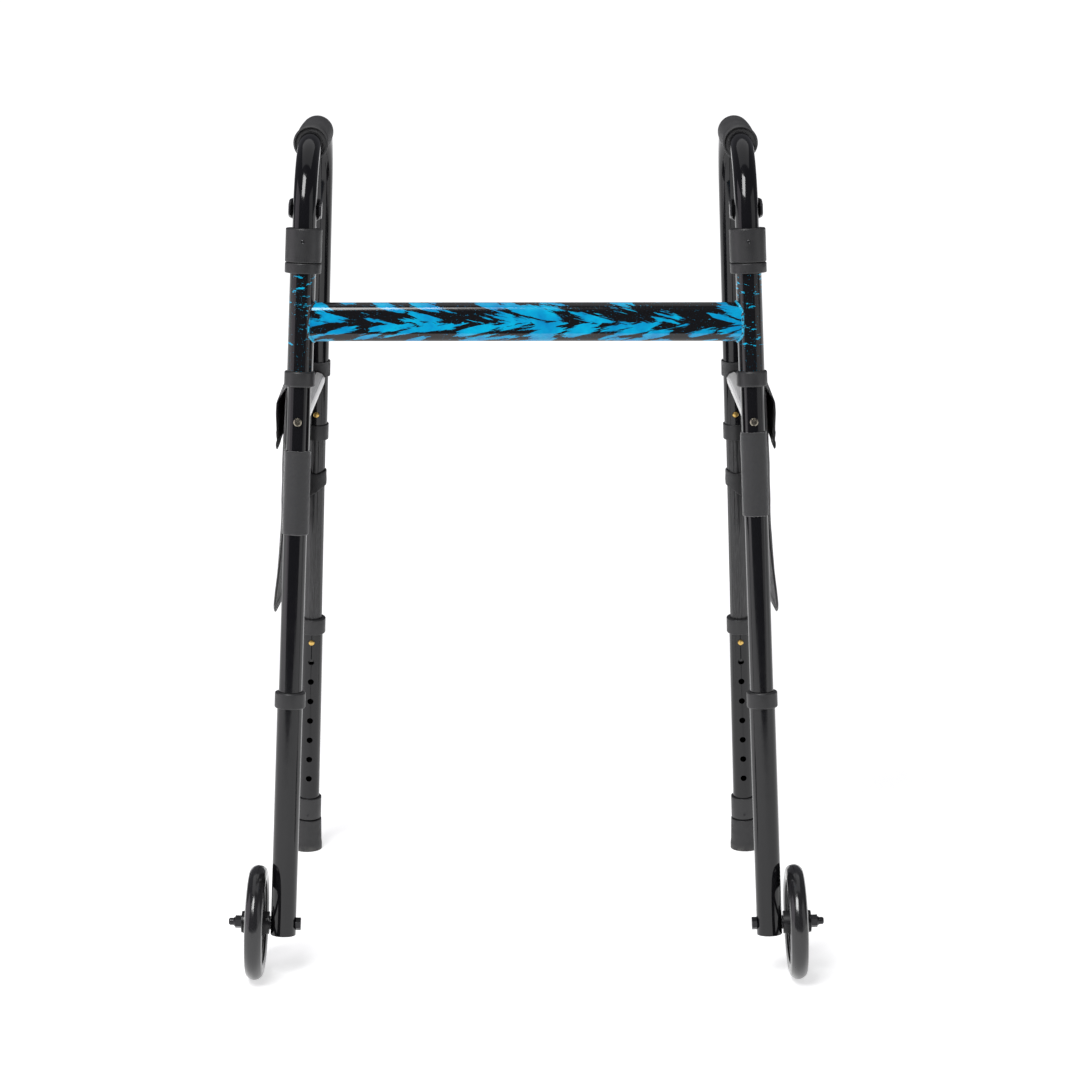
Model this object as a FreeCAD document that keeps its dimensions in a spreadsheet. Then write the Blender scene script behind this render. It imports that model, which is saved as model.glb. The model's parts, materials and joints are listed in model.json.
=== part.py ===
import FreeCAD, Part
import math
import os
import re
import Sketcher
from FreeCAD import Placement, Rotation, Vector

# Folding walking frame. Millimetres, +Z up, the user stands at +Y and looks along -Y.
# The origin is on the floor, in the middle of the frame's box. left is the user's left, at +X.
# Heights are measured from the floor along the leg that carries the piece.

SIZES = (
    # frame geometry
    ("grip_axis_height", 908.0, "hand-grip tube axis above the floor"),
    ("foot_half_spread", 271.3, "leg axis to the middle plane, at the floor"),
    ("splay", 2.31, "each side frame leans inward by this many degrees"),
    ("leg_lean", 4.96, "front and rear legs lean apart by this many degrees each"),
    ("leg_base", 458.8, "front to rear leg axis, at the floor"),
    ("bend_radius", 75.0, "side tube bends, on the tube axis"),
    # tubes
    ("tube_od", 25.4, "side tube outside"),
    ("tube_wall", 1.2, "wall of every leg tube"),
    ("insert_play", 0.4, "radial gap of the rear middle tube in the side tube"),
    ("slide_gap", 0.08, "radial gap of tubes and rings that slide or turn on a tube"),
    ("seat_gap", 0.05, "radial gap of a piece fixed on a tube"),
    ("lip", 4.0, "length of a collar's narrow lip"),
    # front frame
    ("bar_rise", 65.5, "cross bar axis above the sleeve's lower end"),
    ("bar_tall", 42.0, "cross bar section, upright"),
    ("bar_deep", 21.0, "cross bar section, front to back"),
    ("bar_wall", 1.5, "cross bar wall"),
    ("sleeve_low", 660.0, "hinge sleeve, lower end"),
    ("sleeve_tall", 123.0, "hinge sleeve"),
    ("sleeve_collar_wall", 2.72, "collar under the sleeve"),
    ("sleeve_collar_tall", 17.0, "collar under the sleeve"),
    ("lock_wall", 5.67, "lock ring and lock housing, round the sleeve"),
    ("ring_below", 5.0, "lock ring down over the sleeve's end"),
    ("ring_above", 6.0, "lock ring above the sleeve's end"),
    ("lock_face_gap", 0.4, "lock ring to lock housing"),
    ("housing_tall", 37.0, "lock housing above the lock ring"),
    # lock and release paddle
    ("pin_radius", 2.0, "lock pin"),
    ("pin_inset", 2.12, "lock pin axis outside the sleeve's wall"),
    ("pin_bite", 2.6, "lock pin depth in the lock ring"),
    ("pin_play", 0.1, "radial gap round the lock pin"),
    ("track_depth", 3.0, "lock ring's track for the pin"),
    ("fold_left", 84.0, "left side frame's fold, degrees"),
    ("fold_right", 62.0, "right side frame's fold, degrees"),
    ("pivot_stand", 4.4, "paddle pivot axis behind the housing"),
    ("pivot_drop", 4.0, "paddle pivot axis below the housing's upper face"),
    ("pivot_radius", 1.5, "paddle pivot pin"),
    ("lug_gap", 12.4, "space between the housing's lugs"),
    ("lug_thick", 3.2, "each lug"),
    ("toe_rise", 9.0, "top of the paddle's toe above its pivot"),
    ("toe_gap", 1.0, "paddle's toe to the lock pin's head"),
    ("ear_gap", 0.8, "each ear to the upright's side"),
    ("ear_thick", 4.2, "each ear"),
    ("ear_rise", 12.0, "ears' lower end above the paddle pivot"),
    ("ear_tall", 26.0, "ears"),
    ("ear_front", 1.0, "ears' front edge behind the upright's axis"),
    # hand grip
    ("grip_length", 125.0, "hand grip"),
    ("grip_setback", 5.0, "hand grip's front end behind the front bend"),
    ("grip_wall", 6.05, "hand grip, middle"),
    ("grip_waist_wall", 5.35, "hand grip, near its ends"),
    ("grip_flange_wall", 6.45, "hand grip's front ring"),
    ("grip_flange", 4.0, "hand grip's front ring, thickness"),
    ("grip_recess", 3.0, "recess in the hand grip's front face"),
    # side brace
    ("brace_od", 20.0, "side brace outside"),
    ("brace_wall", 1.2, "side brace wall"),
    ("brace_front", 619.0, "side brace axis at the front leg"),
    ("brace_rear", 603.0, "side brace axis at the rear leg"),
    ("bolt_head_od", 9.0, "brace bolt head"),
    ("bolt_head", 2.2, "brace bolt head, thickness"),
    ("bolt_radius", 2.5, "brace bolt shank"),
    ("bolt_length", 46.0, "brace bolt under its head"),
    ("bolt_stand", 0.75, "brace bolt head off the tube, for the tube's slant"),
    # snap buttons and holes
    ("hole_pitch", 25.4, "pitch of the height holes"),
    ("hole_radius", 3.7, "height holes"),
    ("button_radius", 3.4, "snap button"),
    ("button_proud", 2.2, "snap button beyond the tube that it locks"),
    ("button_flange_radius", 4.3, "snap button's inner flange"),
    ("spring_width", 7.0, "leaf spring"),
    ("spring_thick", 0.8, "leaf spring"),
    # rear leg
    ("upper_end", 532.0, "side tube's rear end"),
    ("rear_upper_button_rise", 28.0, "rear upper snap button above the side tube's end"),
    ("rear_upper_collar_wall", 1.65, "collar at the side tube's rear end"),
    ("rear_upper_collar_tall", 19.0, "its length"),
    ("insert_above", 25.0, "rear middle tube above the upper snap button"),
    ("insert_below", 24.8, "rear middle tube below the lower snap button"),
    ("flute_radius", 1.1, "grooves along the rear middle tube"),
    ("lower_top", 298.8, "rear lower tube, upper end"),
    ("rear_lower_button_drop", 25.0, "rear lower snap button below that end"),
    ("lower_bottom", 6.0, "rear lower tube, lower end"),
    ("rear_lower_collar_wall", 2.95, "collar on the rear lower tube"),
    ("rear_lower_collar_tall", 19.0, "its length"),
    ("foot_ring_wall", 2.55, "foot ring"),
    ("foot_ring_gap", 0.4, "foot ring above the rubber tip"),
    ("foot_ring_tall", 27.2, "foot ring, length"),
    ("tip_wall", 3.05, "rubber tip, top"),
    ("tip_flare", 1.5, "rubber tip's flare, radial"),
    ("tip_tall", 42.4, "rubber tip, length"),
    # front leg
    ("main_end", 232.0, "side tube's front end"),
    ("front_button_rise", 25.0, "front snap button above that end"),
    ("extension_above", 61.0, "front extension above the snap button"),
    ("extension_below", 12.3, "front extension below the axle"),
    ("front_collar_wall", 2.87, "collar on the front extension"),
    ("front_collar_tall", 18.0, "its length"),
    # wheel
    ("wheel_od", 127.0, "tyre outside"),
    ("tyre_width", 20.0, "round tyre section"),
    ("wheel_stand", 1.32, "hub's inner face to the leg's side"),
    ("hub_length", 28.6, "wheel hub"),
    ("hub_od", 25.0, "wheel hub"),
    ("rim_width", 13.0, "wheel rim"),
    ("rim_wall", 8.5, "wheel rim, radial"),
    ("tyre_seat", 4.0, "tyre section inside the rim's edge"),
    ("spoke_thick", 4.0, "spokes, along the axle"),
    ("spoke_wide", 7.0, "spokes, across"),
    ("bush_wall", 1.8, "wheel bush"),
    ("axle_radius", 4.0, "axle bolt"),
    ("axle_head_od", 14.4, "axle bolt head and nut, across corners"),
    ("axle_head", 5.3, "axle bolt head"),
    ("axle_past_nut", 6.0, "axle bolt beyond its nut"),
    ("washer_gap", 0.3, "hub to outer washer"),
    ("washer_od", 24.0, "outer washer"),
    ("washer_thick", 1.8, "outer washer"),
    ("nut_thick", 7.0, "axle nut"),
    # pouch
    ("pouch_stand", 0.7, "pouch's inner face outside the side tube"),
    ("pouch_thick", 11.0, "pouch, empty"),
    ("pouch_wall", 1.2, "pouch cloth as modelled here"),
    ("pouch_top", 648.0, "pouch's top edge"),
    ("pouch_bottom", 400.0, "pouch's bottom edge"),
    ("pouch_clear", 3.05, "pouch's ends to the straps round the legs"),
    ("flap_tall", 58.0, "flap at the top of the pouch"),
    ("flap_thick", 1.6, "flap"),
    ("strap_thick", 1.7, "straps"),
    ("wrap_tall", 92.0, "wide strap on the front leg"),
    ("wrap_low_left", 515.0, "wide strap's lower edge, left"),
    ("wrap_low_right", 495.0, "wide strap's lower edge, right"),
    ("upper_strap_low", 600.0, "rear upper strap's lower edge"),
    ("upper_strap_tall", 23.0, "rear upper strap"),
    ("lower_strap_low", 470.0, "rear lower strap's lower edge"),
    ("lower_strap_tall", 19.0, "rear lower strap"),
)

# Sizes that follow from the ones above.
DERIVED = {
    "sleeve_od": "tube_od + slide_gap * 2 + tube_wall * 2",
    "insert_od": "tube_od - tube_wall * 2 - insert_play * 2",
    "sleeve_high": "sleeve_low + sleeve_tall",
    "bar_height": "sleeve_low + bar_rise",
    "sleeve_collar_od": "sleeve_od + seat_gap * 2 + sleeve_collar_wall * 2",
    "lock_od": "sleeve_od + seat_gap * 2 + lock_wall * 2",
    "lock_ring_low": "sleeve_high - ring_below",
    "lock_ring_high": "sleeve_high + ring_above",
    "housing_high": "lock_ring_high + housing_tall",
    "pin_circle": "sleeve_od / 2 + pin_inset",
    "pivot_back": "lock_od / 2 + pivot_stand",
    "pivot_height": "housing_high - pivot_drop",
    "paddle_width": "tube_od + ear_gap * 2 + ear_thick * 2",
    "ear_low": "pivot_height + ear_rise",
    "paddle_top": "ear_low + ear_tall",
    "grip_od": "tube_od + seat_gap * 2 + grip_wall * 2",
    "grip_waist_od": "tube_od + seat_gap * 2 + grip_waist_wall * 2",
    "grip_flange_od": "tube_od + seat_gap * 2 + grip_flange_wall * 2",
    "rear_upper_button_height": "upper_end + rear_upper_button_rise",
    "rear_upper_collar_od": "tube_od + seat_gap * 2 + rear_upper_collar_wall * 2",
    "rear_lower_button_height": "lower_top - rear_lower_button_drop",
    "insert_high": "rear_upper_button_height + insert_above",
    "insert_low": "rear_lower_button_height - insert_below",
    "rear_lower_collar_od": "tube_od + seat_gap * 2 + rear_lower_collar_wall * 2",
    "foot_ring_od": "tube_od + seat_gap * 2 + foot_ring_wall * 2",
    "foot_ring_low": "tip_tall + foot_ring_gap",
    "tip_top_od": "tube_od + seat_gap * 2 + tip_wall * 2",
    "tip_bottom_od": "tip_top_od + tip_flare * 2",
    "front_button_height": "main_end + front_button_rise",
    "extension_top": "front_button_height + extension_above",
    "front_collar_od": "sleeve_od + seat_gap * 2 + front_collar_wall * 2",
    "wheel_offset": "sleeve_od / 2 + wheel_stand + hub_length / 2",
    "washer_at": "wheel_offset + hub_length / 2 + washer_gap",
    "axle_end": "washer_at + washer_thick + nut_thick + axle_past_nut",
    "rim_inner_od": "wheel_od - tyre_width * 2 + tyre_seat * 2 - rim_wall * 2",
    "pouch_inner": "tube_od / 2 + pouch_stand",
    "pouch_leg_gap": "tube_od / 2 + seat_gap + strap_thick + pouch_clear",
}

FIT = 0.3  # clear space between pieces that pass each other
TOUCH = 0.02  # a face that meets the next piece
SPOKES = 5
FLUTES = 12
HOLES = 8
FRONT_HOLES = 7

doc = FreeCAD.newDocument("WalkingFrame")
sheet = doc.addObject("Spreadsheet::Sheet", "Sizes")
for row, (alias, value, note) in enumerate(SIZES, start=1):
    sheet.set("A%d" % row, note)
    sheet.set("B%d" % row, str(value))
    sheet.setAlias("B%d" % row, alias)
doc.recompute()

ALIASES = {alias for alias, value, note in SIZES}
NODES = []


def size(expression):
    """The value of an expression over the sheet's names."""
    return float(worked_out(expression))


def worked_out(expression):
    result = sheet.evalExpression(with_sheet(expression))
    return getattr(result, "Value", result)


def with_sheet(expression):
    """Puts the sheet's name in front of every alias and spells out the sizes that follow."""
    return re.sub(r"[a-z_]+", lambda word: named(word.group(0)), expression)


def named(word):
    if word in DERIVED:
        return "(" + with_sheet(DERIVED[word]) + ")"
    return "Sizes." + word if word in ALIASES else word


def bind(thing, **properties):
    for name, expression in properties.items():
        thing.setExpression(name, with_sheet(expression))
    return thing


# ---- reference frames -------------------------------------------------------------------------

SPLAY = math.radians(size("splay"))
LEAN = math.radians(size("leg_lean"))
ALONG_LEG = 1 / (math.cos(SPLAY) * math.cos(LEAN))
ALONG_SIDE = 1 / math.cos(SPLAY)

TYRE_SECTION = size("tyre_width / 2")
TYRE_RING = size("wheel_od / 2") - TYRE_SECTION
AXLE = (TYRE_RING * math.cos(SPLAY) + TYRE_SECTION - size("wheel_offset") * math.sin(SPLAY)) * ALONG_LEG

FRONT_REACH = size("wheel_od / 2") - AXLE * math.sin(LEAN)
REAR_REACH = size("leg_base") + size("tip_bottom_od / 2") / math.cos(LEAN)
FRONT_FOOT = (FRONT_REACH - REAR_REACH) / 2
REAR_FOOT = FRONT_FOOT + size("leg_base")

X_AXIS = Vector(1, 0, 0)
Y_AXIS = Vector(0, 1, 0)
Z_AXIS = Vector(0, 0, 1)
SIDES = (("left", 1), ("right", -1))


def leg(expression):
    """A height above the floor, as a distance along a leg."""
    return size(expression) * ALONG_LEG


def side_plane(side):
    return Placement(Vector(side * size("foot_half_spread"), 0, 0), Rotation(Y_AXIS, -side * size("splay")))


def front_leg(side):
    lean = Placement(Vector(0, FRONT_FOOT, 0), Rotation(X_AXIS, -size("leg_lean")))
    return side_plane(side).multiply(lean)


def rear_leg(side):
    lean = Placement(Vector(0, REAR_FOOT, 0), Rotation(X_AXIS, size("leg_lean")))
    return side_plane(side).multiply(lean)


def shifted(frame, x=0.0, y=0.0, z=0.0, turn=None):
    return frame.multiply(Placement(Vector(x, y, z), turn or Rotation()))


def toward(axis):
    return Rotation(Z_AXIS, axis)


# ---- helpers that add features ---------------------------------------------------------------

def cylinder(name, radius, height, place=None, angle=None):
    thing = bind(doc.addObject("Part::Cylinder", name), Radius=radius, Height=height)
    if angle is not None:
        thing.Angle = angle
    thing.Placement = place or Placement()
    return thing


def box(name, long, wide, tall, place=None):
    thing = bind(doc.addObject("Part::Box", name), Length=long, Width=wide, Height=tall)
    thing.Placement = place or Placement()
    return thing


def fuse(name, pieces):
    thing = doc.addObject("Part::MultiFuse", name)
    thing.Shapes = pieces
    return thing


def group(name, pieces):
    thing = doc.addObject("Part::Compound", name)
    thing.Links = pieces
    return thing


def cut(name, base, tools):
    thing = doc.addObject("Part::Cut", name)
    thing.Base = base
    thing.Tool = tools[0] if len(tools) == 1 else fuse(name + "_tools", tools)
    return thing


def node(label, thing, place=None):
    thing.Label = label
    if place is not None:
        thing.Placement = place
    NODES.append((label, thing))
    return thing


def outline(sketch, points):
    """A closed outline of straight lines, each corner held by two dimensions from the origin."""
    numbers = [Vector(size(x), size(y), 0) for x, y in points]
    count = len(points)
    for index, start in enumerate(numbers):
        sketch.addGeometry(Part.LineSegment(start, numbers[(index + 1) % count]), False)
    for index in range(count):
        sketch.addConstraint(Sketcher.Constraint("Coincident", index, 2, (index + 1) % count, 1))
    for index, (point, corner) in enumerate(zip(numbers, points)):
        hold(sketch, index, "DistanceX", point.x, corner[0], -2)
        hold(sketch, index, "DistanceY", point.y, corner[1], -1)


def hold(sketch, index, kind, value, expression, axis):
    if abs(value) < 1e-9:
        sketch.addConstraint(Sketcher.Constraint("PointOnObject", index, 1, axis))
        return
    number = sketch.addConstraint(Sketcher.Constraint(kind, -1, 1, index, 1, value))
    sketch.renameConstraint(number, "%s%d" % (kind[-1].lower(), index))
    sketch.setExpression("Constraints.%s%d" % (kind[-1].lower(), index), with_sheet(expression))


def turned(name, points):
    """A PartDesign body: the outline (radius, height) turned about Z."""
    body = doc.addObject("PartDesign::Body", name)
    sketch = body.newObject("Sketcher::SketchObject", name + "_outline")
    plane = [f for f in body.Origin.OriginFeatures if f.Role == "XZ_Plane"][0]
    sketch.AttachmentSupport = (plane, [""])
    sketch.MapMode = "FlatFace"
    outline(sketch, points)
    turn = body.newObject("PartDesign::Revolution", name + "_turn")
    turn.Profile = sketch
    turn.ReferenceAxis = (sketch, ["V_Axis"])
    turn.Angle = 360
    body.Tip = turn
    doc.recompute()
    return body


def rounded(body, radius, picks):
    """Rounds the circular edges at the given (radius, height) places of a turned body."""
    wanted = [(size(r), size(h)) for r, h in picks]
    names = []
    turn = body.Tip
    for number, edge in enumerate(turn.Shape.Edges, start=1):
        circle = edge.Curve
        if not isinstance(circle, Part.Circle):
            continue
        for r, h in wanted:
            if abs(circle.Radius - r) < 1e-4 and abs(circle.Center.z - h) < 1e-4:
                names.append("Edge%d" % number)
    if len(names) < len(wanted):
        raise RuntimeError("edges to round not found on " + body.Name)
    fillet = body.newObject("PartDesign::Fillet", body.Name + "_round")
    fillet.Base = (turn, names)
    bind(fillet, Radius=radius)
    body.Tip = fillet
    doc.recompute()
    return body


def ring(name, outer, inner, height, rounding=None):
    """A plain collar, rounded at its outer edges."""
    body = turned(name, ((inner, "0"), (outer, "0"), (outer, height), (inner, height)))
    if rounding:
        rounded(body, rounding, ((outer, "0"), (outer, height)))
    return body


def lipped(name, outer, seat, slide, height, lip_at_top, rounding):
    """A collar on a tube's end: a wide bore on the outer tube and a narrow lip on the inner tube."""
    if lip_at_top:
        step = "(%s) - lip" % height
        points = ((seat, "0"), (outer, "0"), (outer, height), (slide, height), (slide, step), (seat, step))
    else:
        points = ((slide, "0"), (outer, "0"), (outer, height), (seat, height), (seat, "lip"), (slide, "lip"))
    body = turned(name, points)
    return rounded(body, rounding, ((outer, "0"), (outer, height)))


def extruded(name, points, thickness):
    """A flat piece: the outline in Y and Z, thickened along X."""
    sketch = doc.addObject("Sketcher::SketchObject", name + "_outline")
    outline(sketch, points)
    thing = doc.addObject("Part::Extrusion", name)
    thing.Base = sketch
    thing.DirMode = "Custom"
    thing.Dir = Z_AXIS
    thing.Solid = True
    bind(thing, LengthFwd=thickness)
    return thing


FLAT_TO_SIDE = Rotation(Y_AXIS, Z_AXIS, X_AXIS, "ZXY")


# ---- side tube ---------------------------------------------------------------------------------

SADDLE = size("grip_axis_height") * ALONG_SIDE
SETBACK = size("bend_radius") * math.tan((math.pi / 2 - LEAN) / 2)
FRONT_CORNER = Vector(0, FRONT_FOOT + SADDLE * math.tan(LEAN), SADDLE)
REAR_CORNER = Vector(0, REAR_FOOT - SADDLE * math.tan(LEAN), SADDLE)
FRONT_UP = Vector(0, math.sin(LEAN), math.cos(LEAN))
REAR_UP = Vector(0, -math.sin(LEAN), math.cos(LEAN))


def bend(name, radius, start, inward, turn_axis):
    thing = bind(doc.addObject("Part::Torus", name), Radius1="bend_radius", Radius2=radius)
    bind(thing, Angle3="90 - leg_lean")
    thing.Placement = Placement(
        start + inward * size("bend_radius"),
        Rotation(-inward, turn_axis.cross(-inward), turn_axis, "ZXY"),
    )
    return thing


def run(name, radius, start, end):
    thing = bind(doc.addObject("Part::Cylinder", name), Radius=radius)
    thing.Height = (end - start).Length
    thing.Placement = Placement(start, toward(end - start))
    return thing


def bent_rod(name, radius):
    """The side tube's path in the side plane, as one solid rod."""
    front_end = Vector(0, FRONT_FOOT, 0) + FRONT_UP * leg("main_end")
    rear_end = Vector(0, REAR_FOOT, 0) + REAR_UP * leg("upper_end")
    front_start = FRONT_CORNER - FRONT_UP * SETBACK
    rear_start = REAR_CORNER - REAR_UP * SETBACK
    return fuse(name, [
        run(name + "_front", radius, front_end, front_start),
        bend(name + "_front_bend", radius, front_start, Vector(0, FRONT_UP.z, -FRONT_UP.y), -X_AXIS),
        run(name + "_top", radius, FRONT_CORNER + Y_AXIS * SETBACK, REAR_CORNER - Y_AXIS * SETBACK),
        bend(name + "_rear_bend", radius, rear_start, Vector(0, -REAR_UP.z, REAR_UP.y), X_AXIS),
        run(name + "_rear", radius, rear_end, rear_start),
    ])


def in_plane(name, place, radius, length):
    """A drill along local Y of a leg, as a cylinder in the side plane."""
    return cylinder(name, radius, length, shifted(place, turn=toward(Y_AXIS)))


FRONT_LOCAL = Placement(Vector(0, FRONT_FOOT, 0), Rotation(X_AXIS, -size("leg_lean")))
REAR_LOCAL = Placement(Vector(0, REAR_FOOT, 0), Rotation(X_AXIS, size("leg_lean")))
BRACE_START = FRONT_LOCAL.multVec(Vector(0, 0, leg("brace_front")))
BRACE_END = REAR_LOCAL.multVec(Vector(0, 0, leg("brace_rear")))
BRACE_WAY = (BRACE_END - BRACE_START).normalize()


def side_tube(name, side):
    outer = bent_rod(name + "_outer", "tube_od / 2")
    inner = bent_rod(name + "_inner", "tube_od / 2 - tube_wall")
    bolt = "bolt_radius + pin_play"
    tools = [
        inner,
        cylinder(name + "_bolt_front", bolt, "tube_od * 1.5",
                 Placement(BRACE_START - BRACE_WAY * size("tube_od * 0.75"), toward(BRACE_WAY))),
        cylinder(name + "_bolt_rear", bolt, "tube_od * 1.5",
                 Placement(BRACE_END - BRACE_WAY * size("tube_od * 0.75"), toward(BRACE_WAY))),
        in_plane(name + "_front_hole", shifted(FRONT_LOCAL, z=leg("front_button_height")),
                 "hole_radius", "tube_od"),
        in_plane(name + "_rear_hole", shifted(REAR_LOCAL, y=-size("tube_od"),
                                              z=leg("rear_upper_button_height")), "hole_radius", "tube_od"),
    ]
    node(name, cut(name, outer, tools), side_plane(side))


def hand_grip(name, side):
    bore = "tube_od / 2 + seat_gap"
    edge = "grip_flange_od / 2"
    waist = "grip_waist_od / 2"
    body = turned(name, (
        (bore, "0 + grip_recess"), ("grip_flange_od / 2 - 2.4", "grip_recess"), ("grip_flange_od / 2 - 2.4", "0"),
        (edge, "0"), (edge, "grip_flange"), (waist, "grip_flange + 1.5"), (waist, "grip_flange + 8"),
        ("grip_od / 2", "grip_length * 0.4"), ("grip_od / 2", "grip_length * 0.7"),
        (waist, "grip_length - 6"), (waist, "grip_length"), (bore, "grip_length"),
    ))
    rounded(body, "1.0", ((edge, "0"), (edge, "grip_flange"), (waist, "grip_length")))
    start = FRONT_CORNER + Y_AXIS * (SETBACK + size("grip_setback"))
    node(name, body, side_plane(side).multiply(Placement(start, toward(Y_AXIS))))


# ---- lock and release paddle -------------------------------------------------------------------

def lock_housing(name, side):
    low = size("lock_ring_high + lock_face_gap") * ALONG_LEG
    tall = "(housing_high - lock_ring_high - lock_face_gap) * %.9f" % ALONG_LEG
    shell = ring(name + "_shell", "lock_od / 2", "tube_od / 2 + seat_gap", tall, "1.6")
    shell.Placement = Placement(Vector(0, 0, low), Rotation())
    lugs = []
    for tag, sign in (("inner", -1), ("outer", 1)):
        middle = sign * size("lug_gap / 2 + lug_thick / 2") - size("lug_thick / 2")
        lugs.append(box(
            "%s_lug_%s" % (name, tag), "lug_thick", "pivot_back + 4 - pin_circle", "12",
            Placement(Vector(middle, size("pin_circle"), leg("pivot_height") - 7.5), Rotation())))
    tools = [
        cylinder(name + "_pin_hole", "pin_radius + pin_play", "lock_od * 2",
                 Placement(Vector(0, size("pin_circle"), low - 20), Rotation())),
        cylinder(name + "_pivot_hole", "pivot_radius + pin_play", "lock_od",
                 Placement(Vector(-size("lock_od / 2"), size("pivot_back"), leg("pivot_height")), toward(X_AXIS))),
        box(name + "_slot", "lug_gap", "lock_od", "16",
            Placement(Vector(-size("lug_gap / 2"), size("lock_od / 2") - 0.6, leg("pivot_height") - 9), Rotation())),
        cylinder(name + "_bore", "tube_od / 2 + seat_gap", "lock_od * 2",
                 Placement(Vector(0, 0, low - 20), Rotation())),
    ]
    body = cut(name, fuse(name + "_solid", [shell] + lugs), tools)
    node(name, body, front_leg(side))


def release_paddle(name, side):
    """A cupped lever behind the upright. Its two ears reach forward past the tube."""
    pivot = Vector(0, size("pivot_back"), leg("pivot_height"))
    barrel = cylinder(name + "_barrel", "pivot_radius + 1.9", "lug_gap - 1",
                      Placement(pivot - X_AXIS * size("lug_gap / 2 - 0.5"), toward(X_AXIS)))
    neck = box(name + "_neck", "lug_gap - 1", "3.6", "paddle_top - pivot_height - 8",
               Placement(pivot + Vector(-size("lug_gap / 2 - 0.5"), -0.6, 0), Rotation()))
    cheek = extruded(name + "_cheek", (
        ("ear_front + 5", "ear_low"), ("pivot_back - 0.6", "ear_low"), ("pivot_back + 3", "ear_low + 4"),
        ("pivot_back + 3", "paddle_top - 5"), ("pivot_back - 2", "paddle_top"),
        ("ear_front + 6", "paddle_top"), ("ear_front", "paddle_top - 6"), ("ear_front", "ear_low + 9"),
    ), "paddle_width")
    cheek.Placement = Placement(Vector(-size("paddle_width / 2"), 0, 0), FLAT_TO_SIDE)
    hollow = box(name + "_hollow", "paddle_width - ear_thick * 2", "pivot_back - 1.4", "60",
                 Placement(Vector(-size("paddle_width / 2 - ear_thick"), -0.9, size("ear_low") - 10), Rotation()))
    cup = cut(name + "_cup", cheek, [hollow])
    cup.Placement = Placement(Vector(0, 0, size("paddle_top") * (ALONG_LEG - 1)), Rotation())
    tines = []
    for tag, sign in (("inner", -1), ("outer", 1)):
        middle = sign * 3.7 - 1.1
        tines.append(box("%s_toe_%s" % (name, tag), "2.2", "11", "2",
                         Placement(pivot + Vector(middle, -11, size("toe_rise") - 2), Rotation())))
    base = box(name + "_toe_base", "9.6", "3.4", "toe_rise",
               Placement(pivot + Vector(-4.8, -1.0, 0), Rotation()))
    bore = cylinder(name + "_bore", "pivot_radius + slide_gap", "lock_od",
                    Placement(pivot - X_AXIS * size("lock_od / 2"), toward(X_AXIS)))
    body = cut(name, fuse(name + "_solid", [barrel, neck, cup, base] + tines), [bore])
    node(name, body, front_leg(side))


def lock_pin(name, side):
    low = size("lock_ring_high - pin_bite") * ALONG_LEG
    top = leg("pivot_height") + size("toe_rise + toe_gap")
    pin = cylinder(name + "_shank", "pin_radius", "%.9f" % (top - low + 0.5),
                   Placement(Vector(0, size("pin_circle"), low), Rotation()))
    head = cylinder(name + "_head", "pin_radius * 1.6", "1.6",
                    Placement(Vector(0, size("pin_circle"), top), Rotation()))
    node(name, fuse(name, [pin, head]), front_leg(side))


def paddle_pivot(side_name, side):
    across = size("lug_gap + lug_thick * 2 + 1.6")
    start = Vector(-across / 2, size("pivot_back"), leg("pivot_height"))
    pin = cylinder(side_name + "_paddle_pin", "pivot_radius", "lug_gap + lug_thick * 2 + 1.6",
                   Placement(start, toward(X_AXIS)))
    node(side_name + "_paddle_pin", group(side_name + "_paddle_pin_group", [pin]), front_leg(side))


def paddle_spring(name, side):
    """Torsion spring beside the paddle's barrel, as four close turns and two legs."""
    wire = 0.35
    coils = []
    for turn in range(3):
        coil = bind(doc.addObject("Part::Torus", "%s_turn%d" % (name, turn)), Radius1="pivot_radius + 3.2")
        coil.Radius2 = wire
        x = size("lug_gap / 2 + lug_thick") + 0.6 + turn * 2.3 * wire
        coil.Placement = Placement(Vector(x, size("pivot_back"), leg("pivot_height")), toward(X_AXIS))
        coils.append(coil)
    node(name, group(name, coils), front_leg(side))


def lock_ring(name, side, fold):
    tall = "(lock_ring_high - lock_ring_low) * %.9f" % ALONG_LEG
    step = "(sleeve_high - lock_ring_low) * %.9f" % ALONG_LEG
    slide = "tube_od / 2 + slide_gap"
    sleeve = "tube_od / 2 + slide_gap + tube_wall + seat_gap"
    body = turned(name + "_turned", (
        (sleeve, "0"), ("lock_od / 2", "0"), ("lock_od / 2", tall), (slide, tall), (slide, step), (sleeve, step)))
    rounded(body, "1.2", (("lock_od / 2", "0"), ("lock_od / 2", tall)))
    body.Placement = Placement(Vector(0, 0, leg("lock_ring_low")), Rotation())
    margin = math.degrees(math.asin(size("pin_radius + pin_play") / size("pin_circle"))) + 1.5
    sweep = size(fold) + 2 * margin
    first = 90 - margin if side > 0 else 90 + margin - sweep
    place = Placement(Vector(0, 0, size("lock_ring_high") * ALONG_LEG - size("track_depth")),
                      Rotation(Z_AXIS, first))
    wide = cylinder(name + "_track_outer", "pin_circle + pin_radius + pin_play", "track_depth * 2", place, sweep)
    narrow = cylinder(name + "_track_inner", "pin_circle - pin_radius - pin_play", "track_depth * 3")
    narrow.Placement = Placement(place.Base - Z_AXIS, Rotation())
    track = cut(name + "_track", wide, [narrow])
    body = cut(name, body, [track])
    body.Placement = front_leg(side)
    return body


# ---- front frame -------------------------------------------------------------------------------

def hinge_sleeve(name, side):
    body = ring(name, "tube_od / 2 + slide_gap + tube_wall", "tube_od / 2 + slide_gap",
                "(sleeve_high - sleeve_low) * %.9f" % ALONG_LEG)
    body.Placement = shifted(front_leg(side), z=leg("sleeve_low"))
    return body


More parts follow.
